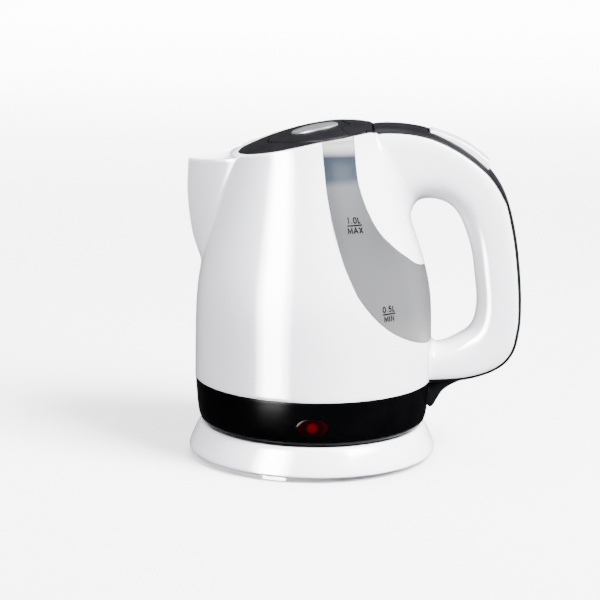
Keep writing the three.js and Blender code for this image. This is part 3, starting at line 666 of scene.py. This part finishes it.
# ---------- marks on the window ----------
# Each letter's pen strokes, in a box one wide and one high.
STROKES = {
    "1": [[(0.15, 0.76), (0.5, 1), (0.5, 0)]],
    "0": [[(0.5, 1), (0.82, 0.9), (0.95, 0.68), (0.95, 0.32), (0.82, 0.1), (0.5, 0), (0.18, 0.1),
           (0.05, 0.32), (0.05, 0.68), (0.18, 0.9), (0.5, 1)]],
    "5": [[(0.88, 1), (0.2, 1), (0.12, 0.55), (0.5, 0.63), (0.8, 0.54), (0.94, 0.32), (0.82, 0.1), (0.5, 0),
           (0.06, 0.1)]],
    ".": [[(0, 0.09), (1, 0.09)]],
    "L": [[(0.1, 1), (0.1, 0), (0.9, 0)]],
    "M": [[(0.02, 0), (0.02, 1), (0.5, 0.2), (0.98, 1), (0.98, 0)]],
    "A": [[(0, 0), (0.5, 1), (1, 0)], [(0.2, 0.34), (0.8, 0.34)]],
    "X": [[(0.05, 0), (0.95, 1)], [(0.05, 1), (0.95, 0)]],
    "I": [[(0.5, 0), (0.5, 1)]],
    "N": [[(0.08, 0), (0.08, 1), (0.92, 0), (0.92, 1)]],
}
# Widths, and the gap between letters, as shares of a letter's height.
WIDTHS = {"1": 0.42, "0": 0.6, "5": 0.6, ".": 0.18, "L": 0.54, "M": 0.8, "A": 0.78, "X": 0.74, "I": 0.12,
          "N": 0.7}
LETTER_HIGH, LETTER_GAP, PEN = 3.0, 0.3, 0.76
INK_THICK, INK_SUNK = 0.05, 0.01
BAR_LENGTH, BAR_GAP = 9.0, 1.2
# Name, what stands above and under the bar, degrees round from the handle, and height.
MARKS = [("mark_max", "1.0L", "MAX", 62.8, 141.2), ("mark_min", "0.5L", "MIN", 50.2, 92.6)]


def stroke_prism(line):
    """One pen stroke as a flat strip lying in X and Y."""
    line = np.array(line, float)
    step = np.diff(line, axis=0)
    step /= np.linalg.norm(step, axis=1, keepdims=True)
    side = np.column_stack([-step[:, 1], step[:, 0]])
    joint = np.vstack([side[:1], side[:-1] + side[1:], side[-1:]])
    joint /= np.linalg.norm(joint, axis=1, keepdims=True)
    lead = np.vstack([side[:1], side])
    reach = PEN / 2 / np.maximum(np.sum(joint * lead, axis=1, keepdims=True), 0.45)
    left, right = line + joint * reach, line - joint * reach
    return sweep("stroke", [[(*a, 0), (*b, 0), (*b, 1), (*a, 1)] for a, b in zip(left, right)])


def print_mark(name, words_above, words_below, degrees, z, side):
    """Ink on the pane. side is -1 for the near pane and 1 for the far one."""
    gap = LETTER_HIGH / 2 + BAR_GAP
    lines = [[(-BAR_LENGTH / 2 + t, 0) for t in np.linspace(0, BAR_LENGTH, 9)]]
    for words, middle in ((words_above, gap), (words_below, -gap)):
        wide = [WIDTHS[letter] * LETTER_HIGH for letter in words]
        pen = -(sum(wide) + LETTER_GAP * LETTER_HIGH * (len(words) - 1)) / 2
        for letter, across in zip(words, wide):
            for stroke in STROKES[letter]:
                lines.append([(pen + u * across, middle + (v - 0.5) * LETTER_HIGH) for u, v in stroke])
            pen += across + LETTER_GAP * LETTER_HIGH
    ink = stroke_prism(lines[0])
    for line in lines[1:]:
        cut(ink, stroke_prism(line), "UNION")
    flat = np.array([v.co for v in ink.data.vertices]) / MM
    turn = flat[:, 0] / body_radius(z)
    grow = INK_THICK * flat[:, 2] - PANE_IN - INK_SUNK
    where = on_body(side * math.radians(degrees) + turn, z + flat[:, 1], grow)
    for vertex, place in zip(ink.data.vertices, where):
        vertex.co = place * MM
    finish_piece(ink, name, INK, "jug", "black_plastic")


# ---------- handle ----------
# Inner point by the finger gap, outer point on the spine, half width, depth of the black spine.
STATIONS = np.array([
    (44, 141, 31.9, 189.7, 18.5, 3.2), (52.8, 144.4, 40, 190.3, 17.6, 3.2),
    (59.4, 148.3, 53, 189.6, 16.8, 3.2), (65, 149, 66, 186.6, 16, 3.2),
    (70.2, 148.2, 80, 179.9, 15.3, 3), (74.9, 146.1, 92, 171.2, 14.8, 2.6),
    (80.5, 140.6, 101, 162, 14.4, 2.3), (85.2, 130.7, 108.2, 149, 14.1, 2.1),
    (88.8, 118.6, 113.2, 130, 14, 2), (90.8, 105.2, 116.2, 109, 14, 2),
    (92.3, 91.7, 117.5, 90, 14, 2), (91.2, 80.5, 117.2, 76, 14, 2.1),
    (87.8, 74.2, 114, 61.5, 14, 2.4), (82, 70.2, 105.5, 52, 14, 2.8),
    (74.8, 66.5, 90, 46, 14.2, 3), (66, 65, 72, 43.8, 14.6, 3), (56, 65, 56, 43.2, 15, 3)])
SPINE_SQUARE, GRIP_SQUARE = 4.5, 2.5
UPPER_FILLET, LOWER_FILLET = 9.0, 4.0
HANDLE_WALL = 2.4
SPINE_SEAM = 0.2  # half of the gap along the spine
LEAF_DIP, LEAF_DIP_X, LEAF_DIP_LONG = 1.1, 29, 5
ROCKER_PLAY = 0.6
GUSSET_HALF = 9.5
BRIDGE_HALF = 13.4


def handle_stations():
    """The stations joined by smooth curves, close together where the handle meets the body."""
    p = with_ends(STATIONS)
    last = len(STATIONS) - 1
    where = np.r_[np.linspace(0, 3.5, 70, endpoint=False), np.linspace(3.5, last - 3, 80, endpoint=False),
                  np.linspace(last - 3, last, 50)]
    out = []
    for place in where:
        i = min(int(place), last - 1)
        out.append(between(p[i : i + 4], place - i))
    return np.array(out)


def handle_arc(station, start, stop, count, inner=0, outer=0, narrow=0):
    """Part of the handle's section between two angles; 0 is the spine, pi the finger side.

    inner, outer and narrow set it in from the finger side, the spine and the sides.
    """
    xi, zi, xo, zo, half, _ = station
    length = math.hypot(xo - xi, zo - zi)
    ux, uz = (xo - xi) / length, (zo - zi) / length
    mid, reach = (inner + length - outer) / 2, (length - outer - inner) / 2
    angle = np.linspace(start, stop, count)
    power = 2 / np.where(np.cos(angle) > 0, SPINE_SQUARE, GRIP_SQUARE)
    along = mid + reach * np.sign(np.cos(angle)) * np.abs(np.cos(angle)) ** power
    y = (half - narrow) * np.sign(np.sin(angle)) * np.abs(np.sin(angle)) ** power
    return np.stack([xi + ux * along, y, zi + uz * along], -1)


def split_angle(station, depth, inner=0, outer=0):
    """The section angle at which the surface is depth below the spine."""
    length = math.hypot(station[2] - station[0], station[3] - station[1])
    mid, reach = (inner + length - outer) / 2, (length - outer - inner) / 2
    share = np.clip((length - depth - mid) / reach, 0.01, 0.999)
    return math.acos(share ** (SPINE_SQUARE / 2))


def handle_channel():
    """The white part of the handle, a channel open along the spine."""
    outer, inner, away = [], [], []
    for s in handle_stations():
        outer_cut = split_angle(s, s[5] + SPINE_SEAM)
        inner_cut = split_angle(s, s[5] + SPINE_SEAM, HANDLE_WALL)
        outer.append(handle_arc(s, outer_cut, 2 * math.pi - outer_cut, 56))
        inner.append(handle_arc(s, 2 * math.pi - inner_cut, inner_cut, 56, HANDLE_WALL, 0, HANDLE_WALL))
        angle = np.linspace(outer_cut, 2 * math.pi - outer_cut, 56)
        away.append(np.clip((np.minimum(angle, 2 * math.pi - angle) - outer_cut) / 1.1, 0, 1))
    outer, away = np.array(outer), np.array(away)
    away = away * away * (3 - 2 * away)
    return ladder("handle_", np.concatenate([blend_to_body(outer, away), np.array(inner)], 1))


def blend_to_body(points, share):
    """Flares the handle's skin into the body's with a fillet, full where share is 1."""
    along, across = np.gradient(points, axis=0), np.gradient(points, axis=1)
    out = np.cross(along, across)
    out /= np.linalg.norm(out, axis=-1, keepdims=True)
    middle = points.mean(axis=1, keepdims=True)
    if np.sum(out * (points - middle)) < 0:
        out = -out
    x, y, z = np.moveaxis(points, -1, 0)
    centre = body_centre(z)
    reach = np.hypot(x - centre, y)
    gap = reach - body_radius(z)
    radial = np.stack([(x - centre) / reach, y / reach, np.zeros_like(z)], -1)
    out = out - np.sum(out * radial, -1, keepdims=True) * radial
    out /= np.maximum(np.linalg.norm(out, axis=-1, keepdims=True), 0.05)
    fillet = np.where(z > 100, UPPER_FILLET, LOWER_FILLET) * share + 1e-6
    short = np.clip(fillet - gap, 0, fillet)
    push = fillet - np.sqrt(fillet**2 - short**2)
    angle = np.arctan2(y, x - centre)
    angle = angle + push * (out[..., 1] * np.cos(angle) - out[..., 0] * np.sin(angle)) / reach
    return on_body(angle, z + push * out[..., 2], gap)


def leaf_top(x):
    """The leaf's upper edge follows the rim and dips under the front of the black spine."""
    return rim(x) - LEAF_DIP * np.clip((x - LEAF_DIP_X) / LEAF_DIP_LONG, 0, 1)


def wings():
    """The leaf of white skin that the handle grows out of."""
    edge = edge_on_body(REAR_EDGE, 70)[::-1]
    edge[0, 0] = -0.02
    low_z, top_z = edge[[0, -1], 1]
    share = (edge[:, 1] - low_z) / (top_z - low_z)
    sides = 1 - 2 * np.linspace(0, 1, 90)
    tops = np.full(len(sides), FIRST_GUESS)
    for _ in range(20):
        tops = leaf_top(on_body(edge[-1, 0] * sides, tops)[:, 0])
    loops = []
    for side, top in zip(sides, tops):
        angle = (edge[:, 0] + PANE_SEAM / EVEN) * side
        z = lerp(low_z, top, share)
        inner = on_body(angle, np.minimum(z, top - WELL_DEPTH), -WALL)
        well_x = LID_X + WELL_RADIUS * math.cos(angle[-1])
        well_y = WELL_RADIUS * math.sin(angle[-1])
        well = [[well_x, well_y, leaf_top(well_x) - h] for h in (0, WELL_WALL)]
        loops.append(np.vstack([on_body(angle, z), well, inner[::-1]]))
    return ladder("wings_", loops)


def handle_shell():
    shell = handle_channel()
    cut(shell, body_tool(-WALL + 0.4, 96, 200))
    cut(shell, body_tool(0.2, 40, 100))
    cut(shell, wings(), "UNION")
    cut(shell, rocker_pocket())
    cut(shell, hinge_block(0.12))
    finish_piece(shell, "white_handle", WHITE, "jug", "white_plastic", "handle_shell")


def rocker_pocket():
    """The room for the switch rocker in the top of the handle."""
    outline = [(62.2, 200), (62.2, 181.5), (64.5, 178), (83, 166.5), (94.5, 159.3), (98.4, 165),
               (99.2, 172), (99, 200)]
    return side_prism(outline, ROCKER_HIGH[1] + ROCKER_PLAY)


def handle_cover():
    """The black spine from the lid's seam to the tail under the lower arm."""
    loops = []
    for s in handle_stations():
        depth = s[5] - SPINE_SEAM
        cut_at = split_angle(s, depth)
        thick = min(1.7, s[5] * 0.6)
        inner_cut = split_angle(s, depth, 0, thick)
        outer = handle_arc(s, -cut_at, cut_at, 25)
        inner = handle_arc(s, inner_cut, -inner_cut, 25, 0, thick, 1.6)
        loops.append(np.vstack([outer, inner]))
    cover = ladder("cover_", loops)
    bevel(cover, 0.3, 2, 50)
    cut(cover, gusset(), "UNION")
    cut(cover, hinge_block(), "UNION")
    cut(cover, body_tool(0.3, 46, 120))
    cut(cover, ring_tool(0.12))
    cut(cover, rocker_pocket())
    cut(cover, hinge_clearance())
    finish_piece(cover, "black_spine", BLACK, "jug", "black_plastic", "handle_cover")


def gusset():
    """The tail that carries the spine down to the black ring."""
    back = spline([(65.4, 31.2), (66, 30), (67.3, 29.6), (69, 30.8), (71.2, 34.9), (73.8, 38.9), (77.4, 42),
                   (82.4, 44.6), (86, 46)], 30)
    outline = np.vstack([[(58, 46), (58, 34), (64, 32)], back])
    tail = side_prism(outline, GUSSET_HALF, "tail_")
    bevel(tail, 1.2, 3, 50)
    return tail


def hinge_block(grow=0.0):
    """What holds the lid's pin behind the lid: two ears and a bridge that hides in the handle."""
    bridge = side_prism([(32 - grow, 186.2 - grow), (35.6, 186.2 - grow), (36.6, 187.5 - grow),
                         (44, 187.5 - grow), (44, 190 + grow), (32 - grow, 189.5 + grow)],
                        BRIDGE_HALF + grow)
    # only the arm under the rocker is wanted, from its root to the pocket
    sections = [handle_arc(s, 0, 2 * math.pi, 65, 0, 0.1 - grow, 0.1 - grow)[:-1]
                for s in handle_stations()[::5] if s[2] < 60]
    cut(bridge, sweep("tool", sections), "INTERSECT")
    reach = WELL_RADIUS - 0.2 + grow
    front = 28 - grow
    ear = [(x, math.sqrt(reach**2 - (x - LID_X) ** 2)) for x in np.linspace(front, 31.2, 8)]
    half = ear + [(32.7 + grow, 16.4 + grow)]
    inside = [(front, -EAR_INSIDE), (31.4, -EAR_INSIDE), (31.4, EAR_INSIDE), (front, EAR_INSIDE)]
    outline = half + [(x, -y) for x, y in half[::-1]] + inside
    ears = plan_prism(outline, 186.25 - grow, 190)
    cut(ears, side_prism([(20, 188.65 + grow), (30.9, 188.65 + grow), (33.5, 187 + grow), (40, 187 + grow),
                          (40, 195), (20, 195)], 40))
    cut(bridge, ears, "UNION")
    return bridge


def hinge_clearance():
    """The room that the lid's roll turns in."""
    reach = KNUCKLE_RADIUS + 0.4
    return side_prism(ellipse((HINGE_X, HINGE_Z), reach, reach, 32), EAR_INSIDE)


def ring_tool(grow):
    """The black ring's outside as a full solid, used to cut with."""
    heights = np.linspace(RING_BOTTOM, RING_TOP - 0.4, 24)
    rows = [(ring_outside(z) + grow, z) for z in heights]
    rows.append((RING_RADIUS + grow, RING_TOP + 0.5))
    return sweep("tool", [np.column_stack([ellipse((0, 0), r, r, 192), np.full(192, z)]) for r, z in rows])


# ---------- rocker ----------
def switch_rocker():
    top = spline([(64.3, 188.3), (73.9, 185.2), (83.7, 181), (91.5, 175.7), (96.2, 172.0)], 24)
    rear = [(97.3, 170.6), (97.5, 169.2), (97.2, 167.6)]
    under = [(95, 163.5), (84, 169.6), (82.5, 168.4), (80, 169), (77.5, 170.4), (74, 176.3), (66.5, 180.4),
             (63.5, 185.6), (63.5, 187.6)]
    rocker = side_prism(np.vstack([top, rear, under]), ROCKER_HIGH[1], "rocker_")
    bevel(rocker, 0.9, 4, 50)
    finish_piece(rocker, "rocker", WHITE, "rocker", "white_plastic", "switch_rocker")


# ---------- lid ----------
def lid_top(x, y, offset=0.0):
    """Height of the lid's domed top."""
    dome = LID_DOME * (1 - (((x - LID_X) ** 2 + y**2) / LID_RADIUS**2) ** 1.9)
    return rim(x) + dome + offset


# Half of the inlaid panel's outline in plan, from the spout's side to the hinge's side.
PANEL = [(-27.3, 0), (-25.6, 9), (-21, 16.5), (-15, 24.5), (-8, 31), (0, 34.6), (9, 35.4), (16.5, 33.4)]
PANEL_BACK = [(19.7, 30.4), (14.2, 18), (13.6, 12), (18, 0)]
PANEL_INSIDE = 2.4  # at least this far from the lid's edge
PANEL_SEAM, PANEL_THICK, BUTTON_GAP = 0.85, 1.35, 0.25
PLATE_SEAT = 1.6  # from the domed top to the floor that the panel lies on
LIP, LIP_LONG = [(0, 0.6), (0.1, 0.28), (0.35, 0.07)], 0.75  # how each side of the seam rounds off
HALF_TURN = np.r_[np.linspace(0, 1.2, 70), np.linspace(1.2, math.pi, 70)[1:]]


# Each outline of the lid is a radius about the origin at every angle of HALF_TURN.
def panel_radius():
    front = respace(np.vstack([spline(PANEL, 60), PANEL_BACK[0]]), 80)
    outline = np.vstack([front, PANEL_BACK[1:]])
    outline = outline[np.argsort(np.arctan2(outline[:, 1], outline[:, 0]))]
    t = np.linspace(0, 1, 40, endpoint=False)[:, None]
    x, y = np.vstack([lerp(a, b, t) for a, b in zip(outline, outline[1:])] + [outline[-1:]]).T
    radius = np.interp(HALF_TURN, np.arctan2(y, x), np.hypot(x, y))
    return np.minimum(radius, plate_radius() - PANEL_INSIDE)


def plate_radius():
    """The lid's edge, cut off behind by the hinge."""
    c, s = np.cos(HALF_TURN), np.sin(HALF_TURN)
    round_edge = LID_X * c + np.sqrt(LID_RADIUS**2 - (LID_X * s) ** 2)
    chord = np.where(c > 0.05, LID_BACK / np.maximum(c, 0.05), 1e6)
    return np.minimum(round_edge, chord)


def oval(grow):
    """The button's oval."""
    middle = (BUTTON_HIGH[0] + BUTTON_LOW[0]) / 2
    long, wide = ((BUTTON_HIGH - BUTTON_LOW) / 2 + grow)[:2]
    c, s = np.cos(HALF_TURN), np.sin(HALF_TURN)
    a = (c / long) ** 2 + (s / wide) ** 2
    b = -2 * middle * c / long**2
    k = (middle / long) ** 2 - 1
    return (-b + np.sqrt(b * b - 4 * a * k)) / (2 * a)


def lid_rings(radii_and_heights):
    """Loops round the lid, each from an outline and its offset from the domed top."""
    angle = np.r_[HALF_TURN, -HALF_TURN[-2:0:-1]]
    loops = []
    for radius, offset in radii_and_heights:
        full = np.r_[radius, radius[-2:0:-1]]
        x, y = full * np.cos(angle), full * np.sin(angle)
        loops.append(np.stack([x, y, lid_top(x, y, offset)], -1))
    return loops


def lid_cover():
    """The lid's plate with a sunk seat for the panel, and its roll round the hinge pin."""
    edge, seat, hole = plate_radius(), panel_radius() + PANEL_SEAM, oval(BUTTON_GAP)
    rows = [(seat + reach, -drop) for reach, drop in LIP]
    rows += [(lerp(seat + LIP_LONG, edge - 0.35, t), 0.0) for t in np.linspace(0, 1, 12)]
    rows += [(edge - 0.1, -0.1), (edge, -0.35), (edge, -LID_PLATE)]
    rows += [(lerp(edge, hole, t), -LID_PLATE) for t in (0.25, 0.5, 0.75, 1)]
    rows += [(lerp(hole, seat, t), -PLATE_SEAT) for t in (0, 0.5, 1)]
    cover = sweep("lid_", lid_rings(rows), closed=True)
    knuckle = side_prism(ellipse((HINGE_X, HINGE_Z), KNUCKLE_RADIUS, KNUCKLE_RADIUS, 40), KNUCKLE_HALF)
    front = LID_BACK - 0.8
    neck = [[(front, y, HINGE_Z - 1), (HINGE_X, y, HINGE_Z - 1), (HINGE_X, y, HINGE_Z + 1.45),
             (LID_BACK, y, lid_top(LID_BACK, y)), (front, y, lid_top(front, y) - 0.1)]
            for y in np.linspace(-KNUCKLE_HALF, KNUCKLE_HALF, 14)]
    cut(knuckle, sweep("tool", neck), "UNION")
    cut(cover, knuckle, "UNION")
    finish_piece(cover, "lid_plate", BLACK, "lid", "black_plastic", "lid_cover")


def lid_panel():
    edge, hole = panel_radius(), oval(BUTTON_GAP)
    rows = [(lerp(hole + 0.2, edge - LIP_LONG, t), 0.0) for t in np.linspace(0, 1, 12)]
    rows += [(edge - reach, -drop) for reach, drop in LIP[::-1]]
    rows += [(lerp(edge, hole, t), -PANEL_THICK) for t in (0, 0.3, 0.6, 1)]
    rows.append((hole, -0.2))
    panel = sweep("panel_", lid_rings(rows), closed=True)
    finish_piece(panel, "lid_inlay", BLACK, "lid", "black_plastic", "lid_panel")


SPRING_X = (SPRING_LOW[0] + SPRING_HIGH[0]) / 2
SPRING_TURNS, SPRING_WIRE = 5, 0.34
SPRING_SEAT = 2.8
BUTTON_PROUD, BUTTON_CROWN, BUTTON_DEEP = 0.9, 0.25, 1.6


def lid_button():
    edge, top = oval(0.0), BUTTON_PROUD
    rows = [(edge * t, top + BUTTON_CROWN * (1 - t * t)) for t in (0.02, 0.15, 0.3, 0.45, 0.6, 0.75, 0.88)]
    rows += [(edge - 0.5, top + 0.02), (edge - 0.2, top - 0.15), (edge, top - 0.5)]
    rows += [(edge * t, -BUTTON_DEEP) for t in (1, 0.8, 0.5, 0.02)]
    button = sweep("button_", lid_rings(rows))
    # the seat of the spring, deep enough for the pressed button to stay clear of it
    seat = ellipse((SPRING_X, 0), SPRING_SEAT, SPRING_SEAT, 32)
    cut(button, plan_prism(seat, 180, SPRING_HIGH[2] + 0.3))
    finish_piece(button, "press_button", SILVER, "button", "silver_button", "lid_button")


def button_spring():
    """A coil between the lid's cup and the button."""
    reach = (SPRING_HIGH[0] - SPRING_LOW[0]) / 2 - SPRING_WIRE
    low, high = SPRING_LOW[2] + SPRING_WIRE, SPRING_HIGH[2] - SPRING_WIRE
    sections = []
    for turn in np.linspace(0, SPRING_TURNS, SPRING_TURNS * 28 + 1):
        angle = 2 * math.pi * turn
        out, z = ellipse((reach, lerp(low, high, turn / SPRING_TURNS)), SPRING_WIRE, SPRING_WIRE, 10).T
        sections.append(np.column_stack([SPRING_X + out * math.cos(angle), out * math.sin(angle), z]))
    spring = sweep("spring_", sections)
    finish_piece(spring, "coil_spring", STEEL, "lid", "steel", "button_spring")
    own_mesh(spring)


# ---------- black ring and lamp ----------
LENS_X, _, LENS_Z = (LENS_LOW + LENS_HIGH) / 2
LENS_WIDE, _, LENS_TALL = (LENS_HIGH - LENS_LOW) / 2
LENS_GAP = 0.3
# The lens's section, from its middle to its rim and back: share of its half width, depth.
LENS_SECTION = [(0.02, -0.5), (0.2, -0.48), (0.4, -0.4), (0.6, -0.3), (0.8, -0.15), (0.92, -0.1), (0.98, 0.1),
                (1.0, 0.5), (1.0, 2.6), (0.5, 2.6), (0.02, 2.6)]


def skirt_ring():
    outside = spline([(60.6, RING_BOTTOM), (62.2, 19.8), (63.6, 21), (64.7, 23.2), (65.5, 27), (66.2, 33),
                      (66.7, 39), (RING_RADIUS, 44.4)], 40)
    inside = [(RING_RADIUS - 0.25, RING_TOP), (64.8, RING_TOP), (64.4, 35), (63.7, 28.5), (62.4, 23.4),
              (58.5, 21.6), (58.5, RING_BOTTOM)]
    ring = turned("ring_", np.vstack([outside, inside]))
    hole = ellipse((LENS_X, LENS_Z), LENS_WIDE + LENS_GAP, LENS_TALL + LENS_GAP, 64)
    cut(ring, side_prism(hole, 20, middle=-70))
    finish_piece(ring, "black_ring", RING_BLACK, "jug", "ring_black", "skirt_ring")


def ring_outside(z):
    """The ring's radius at height z."""
    return np.interp(z, [20, 21, 23.2, 27, 33, 39, 44.4], [62.4, 63.6, 64.7, 65.5, 66.2, 66.7, 67])


def indicator():
    """The lamp's window, domed out of the ring's face."""
    loops = []
    for share, depth in LENS_SECTION:
        x, z = ellipse((LENS_X, LENS_Z), LENS_WIDE * share, LENS_TALL * share, 64).T
        y = -np.sqrt(ring_outside(z) ** 2 - x**2) + depth
        loops.append(np.stack([x, y, z], -1))
    lens = sweep("lens_", loops)
    finish_piece(lens, "indicator_window", LENS, "jug", "red_lens", "indicator_lens")


# ---------- power base ----------
GLAND_Z, GLAND_HOLE = 8.8, 4.85


def base_cover():
    outside = spline([(67.6, BASE_BOTTOM), (69.4, 2.9), (BASE_RADIUS, 3.9), (69.9, 6), (68.8, 9),
                      (67.4, 12.2), (66, 15.2), (64.6, 17.6), (63.2, BASE_TOP), (61.6, BASE_TOP),
                      (60.4, 17.9)], 60)
    inside = [(59.5, 17.4), (19.2, 17.4), (17.9, 16.9), (17.9, 15.2), (62.4, 15.2), (64.4, 13.8),
              (66.2, 10.5), (67.4, 6), (67.6, 4)]
    cover = turned("base_", np.vstack([outside, inside]), 40)
    cut(cover, side_prism(ellipse((0, GLAND_Z), GLAND_HOLE, GLAND_HOLE, 40), 15, middle=65))
    finish_piece(cover, "base_housing", WHITE, "base", "white_plastic", "base_cover")


# ---------- carried-over nodes ----------
CARRIED = [
    (WHITE, "base_plate cord_gland filter_frame lid_inner"),
    (BLACK, "base_socket bottom_cover kettle_control"),
    (GREY, "switch_block latch_slider trip_lever"),
    (BRASS, "base_ring_contact base_center_contact coupler_pin coupler_ring"),
    (STEEL, "bimetal_disc_1 bimetal_disc_2 heater_plate heating_element filter_mesh lid_hinge_pin "
            "rocker_pin steam_bimetal base_screw_1 base_screw_2 base_screw_3 bottom_screw_1 "
            "bottom_screw_2 bottom_screw_3"),
    (SILICONE, "heater_seal lid_seal"),
    (RUBBER, "base_foot_1 base_foot_2 base_foot_3 base_foot_4"),
    (WIRE, "switch_lead_1 switch_lead_2"),
    (LENS, "indicator_lamp"),
]


def carry_over():
    """Gives its finish to every piece that needs no finer shape than the frame's."""
    for material, names in CARRIED:
        for name in names.split():
            for slot in frame["nodes"][name].material_slots:
                slot.material = material


# ---------- stage ----------
CAMERA_TARGET = (22.2, 0, 87.7)
CAMERA_DISTANCE, CAMERA_ELEVATION, CAMERA_ROLL = 1500, 12.5, 1.1
CAMERA_SENSOR, CAMERA_LENS = 36, 158.1167
LOOK_RIGHT, LOOK_UP = -0.0201117, 0.0007589  # off the target, as tangents
FLOOR_HALF = 4000
WORLD_STRENGTH = 0.08
# Name, place, target, width, height, power, spread in degrees, and the rays that don't see it.
LIGHTS = [
    ("left_strip", (-905, -1010, 480), (0, 0, 110), 330, 1200, 30, 180, "glossy"),
    ("left_shine", (-830, -1077, 350), (0, 0, 110), 500, 1700, 400, 180, "diffuse"),
    ("left_glow", (-830, -1077, 350), (0, 0, 110), 840, 1700, 290, 180, "diffuse"),
    ("key_box", (1100, -700, 1300), (20, 100, 60), 1000, 1000, 44, 60, None),
    ("top_box", (-200, 300, 1700), (0, 0, 100), 1000, 1000, 9, 90, None),
    ("back_fill", (0, 1500, 900), (0, 0, 100), 1000, 1000, 16, 180, "glossy"),
] + [
    (f"floor_wash_{i}", (2400 * x, 2400 * y, 1600), (2300 * x, 2300 * y, 0), 3000, 1600, 330, 100, "glossy")
    for i, x, y in ((1, 0, 1), (2, -1, 0), (3, 0, -1), (4, 1, 0))
]


def stage():
    """Camera, floor and lights."""
    turn = (Matrix.Rotation(math.radians(90 - CAMERA_ELEVATION), 3, "X")
            @ Matrix.Rotation(math.radians(CAMERA_ROLL), 3, "Z"))
    right, up, back = turn.transposed()
    place = (Vector(CAMERA_TARGET) + back * CAMERA_DISTANCE) * MM
    look = (right * LOOK_RIGHT + up * LOOK_UP - back).normalized()
    side_axis = look.cross(up).normalized()
    data = bpy.data.cameras.new("camera")
    data.sensor_width, data.lens = CAMERA_SENSOR, CAMERA_LENS
    data.clip_end = 20
    camera = bpy.data.objects.new("camera", data)
    rotation = Matrix((side_axis, side_axis.cross(look), -look)).transposed()
    camera.matrix_world = Matrix.Translation(place) @ rotation.to_4x4()
    bpy.context.scene.collection.objects.link(camera)
    bpy.context.scene.camera = camera

    corners = [(FLOOR_HALF * x, FLOOR_HALF * y, 0) for x, y in ((-1, -1), (1, -1), (1, 1), (-1, 1))]
    floor = smooth_mesh("floor", corners, [(0, 1, 2, 3)])
    floor.data.materials.append(plastic("pale_floor", (0.93, 0.93, 0.93), 0.01, 0.6, 0.05, 0.1, 2.0,
                                        mottle=3.0))
    floor.visible_diffuse = floor.visible_glossy = False

    world = bpy.data.worlds.new("world")
    world.use_nodes = True
    background = world.node_tree.nodes["Background"]
    background.inputs["Color"].default_value = (1, 1, 1, 1)
    background.inputs["Strength"].default_value = WORLD_STRENGTH
    bpy.context.scene.world = world
    for light in LIGHTS:
        area(*light)


def area(name, place, target, width, height, power, spread, unseen_by):
    data = bpy.data.lights.new(name, "AREA")
    data.shape = "RECTANGLE"
    data.size, data.size_y = width * MM, height * MM
    data.energy = power
    data.spread = math.radians(spread)
    light = bpy.data.objects.new(name, data)
    light.location = Vector(place) * MM
    aim = (Vector(target) - Vector(place)).normalized()
    light.rotation_euler = aim.to_track_quat("-Z", "Y").to_euler()
    if unseen_by:
        setattr(light, f"visible_{unseen_by}", False)
    bpy.context.scene.collection.objects.link(light)


stage()
body_shell()
inner_jug()
water_window()
for side, where in ((-1, "near"), (1, "far")):
    for mark, above, under, degrees, z in MARKS:
        print_mark(f"{mark}_{where}", above, under, degrees, z, side)
handle_shell()
handle_cover()
switch_rocker()
lid_cover()
lid_panel()
lid_button()
button_spring()
skirt_ring()
indicator()
base_cover()
carry_over()

bpy.context.view_layer.update()
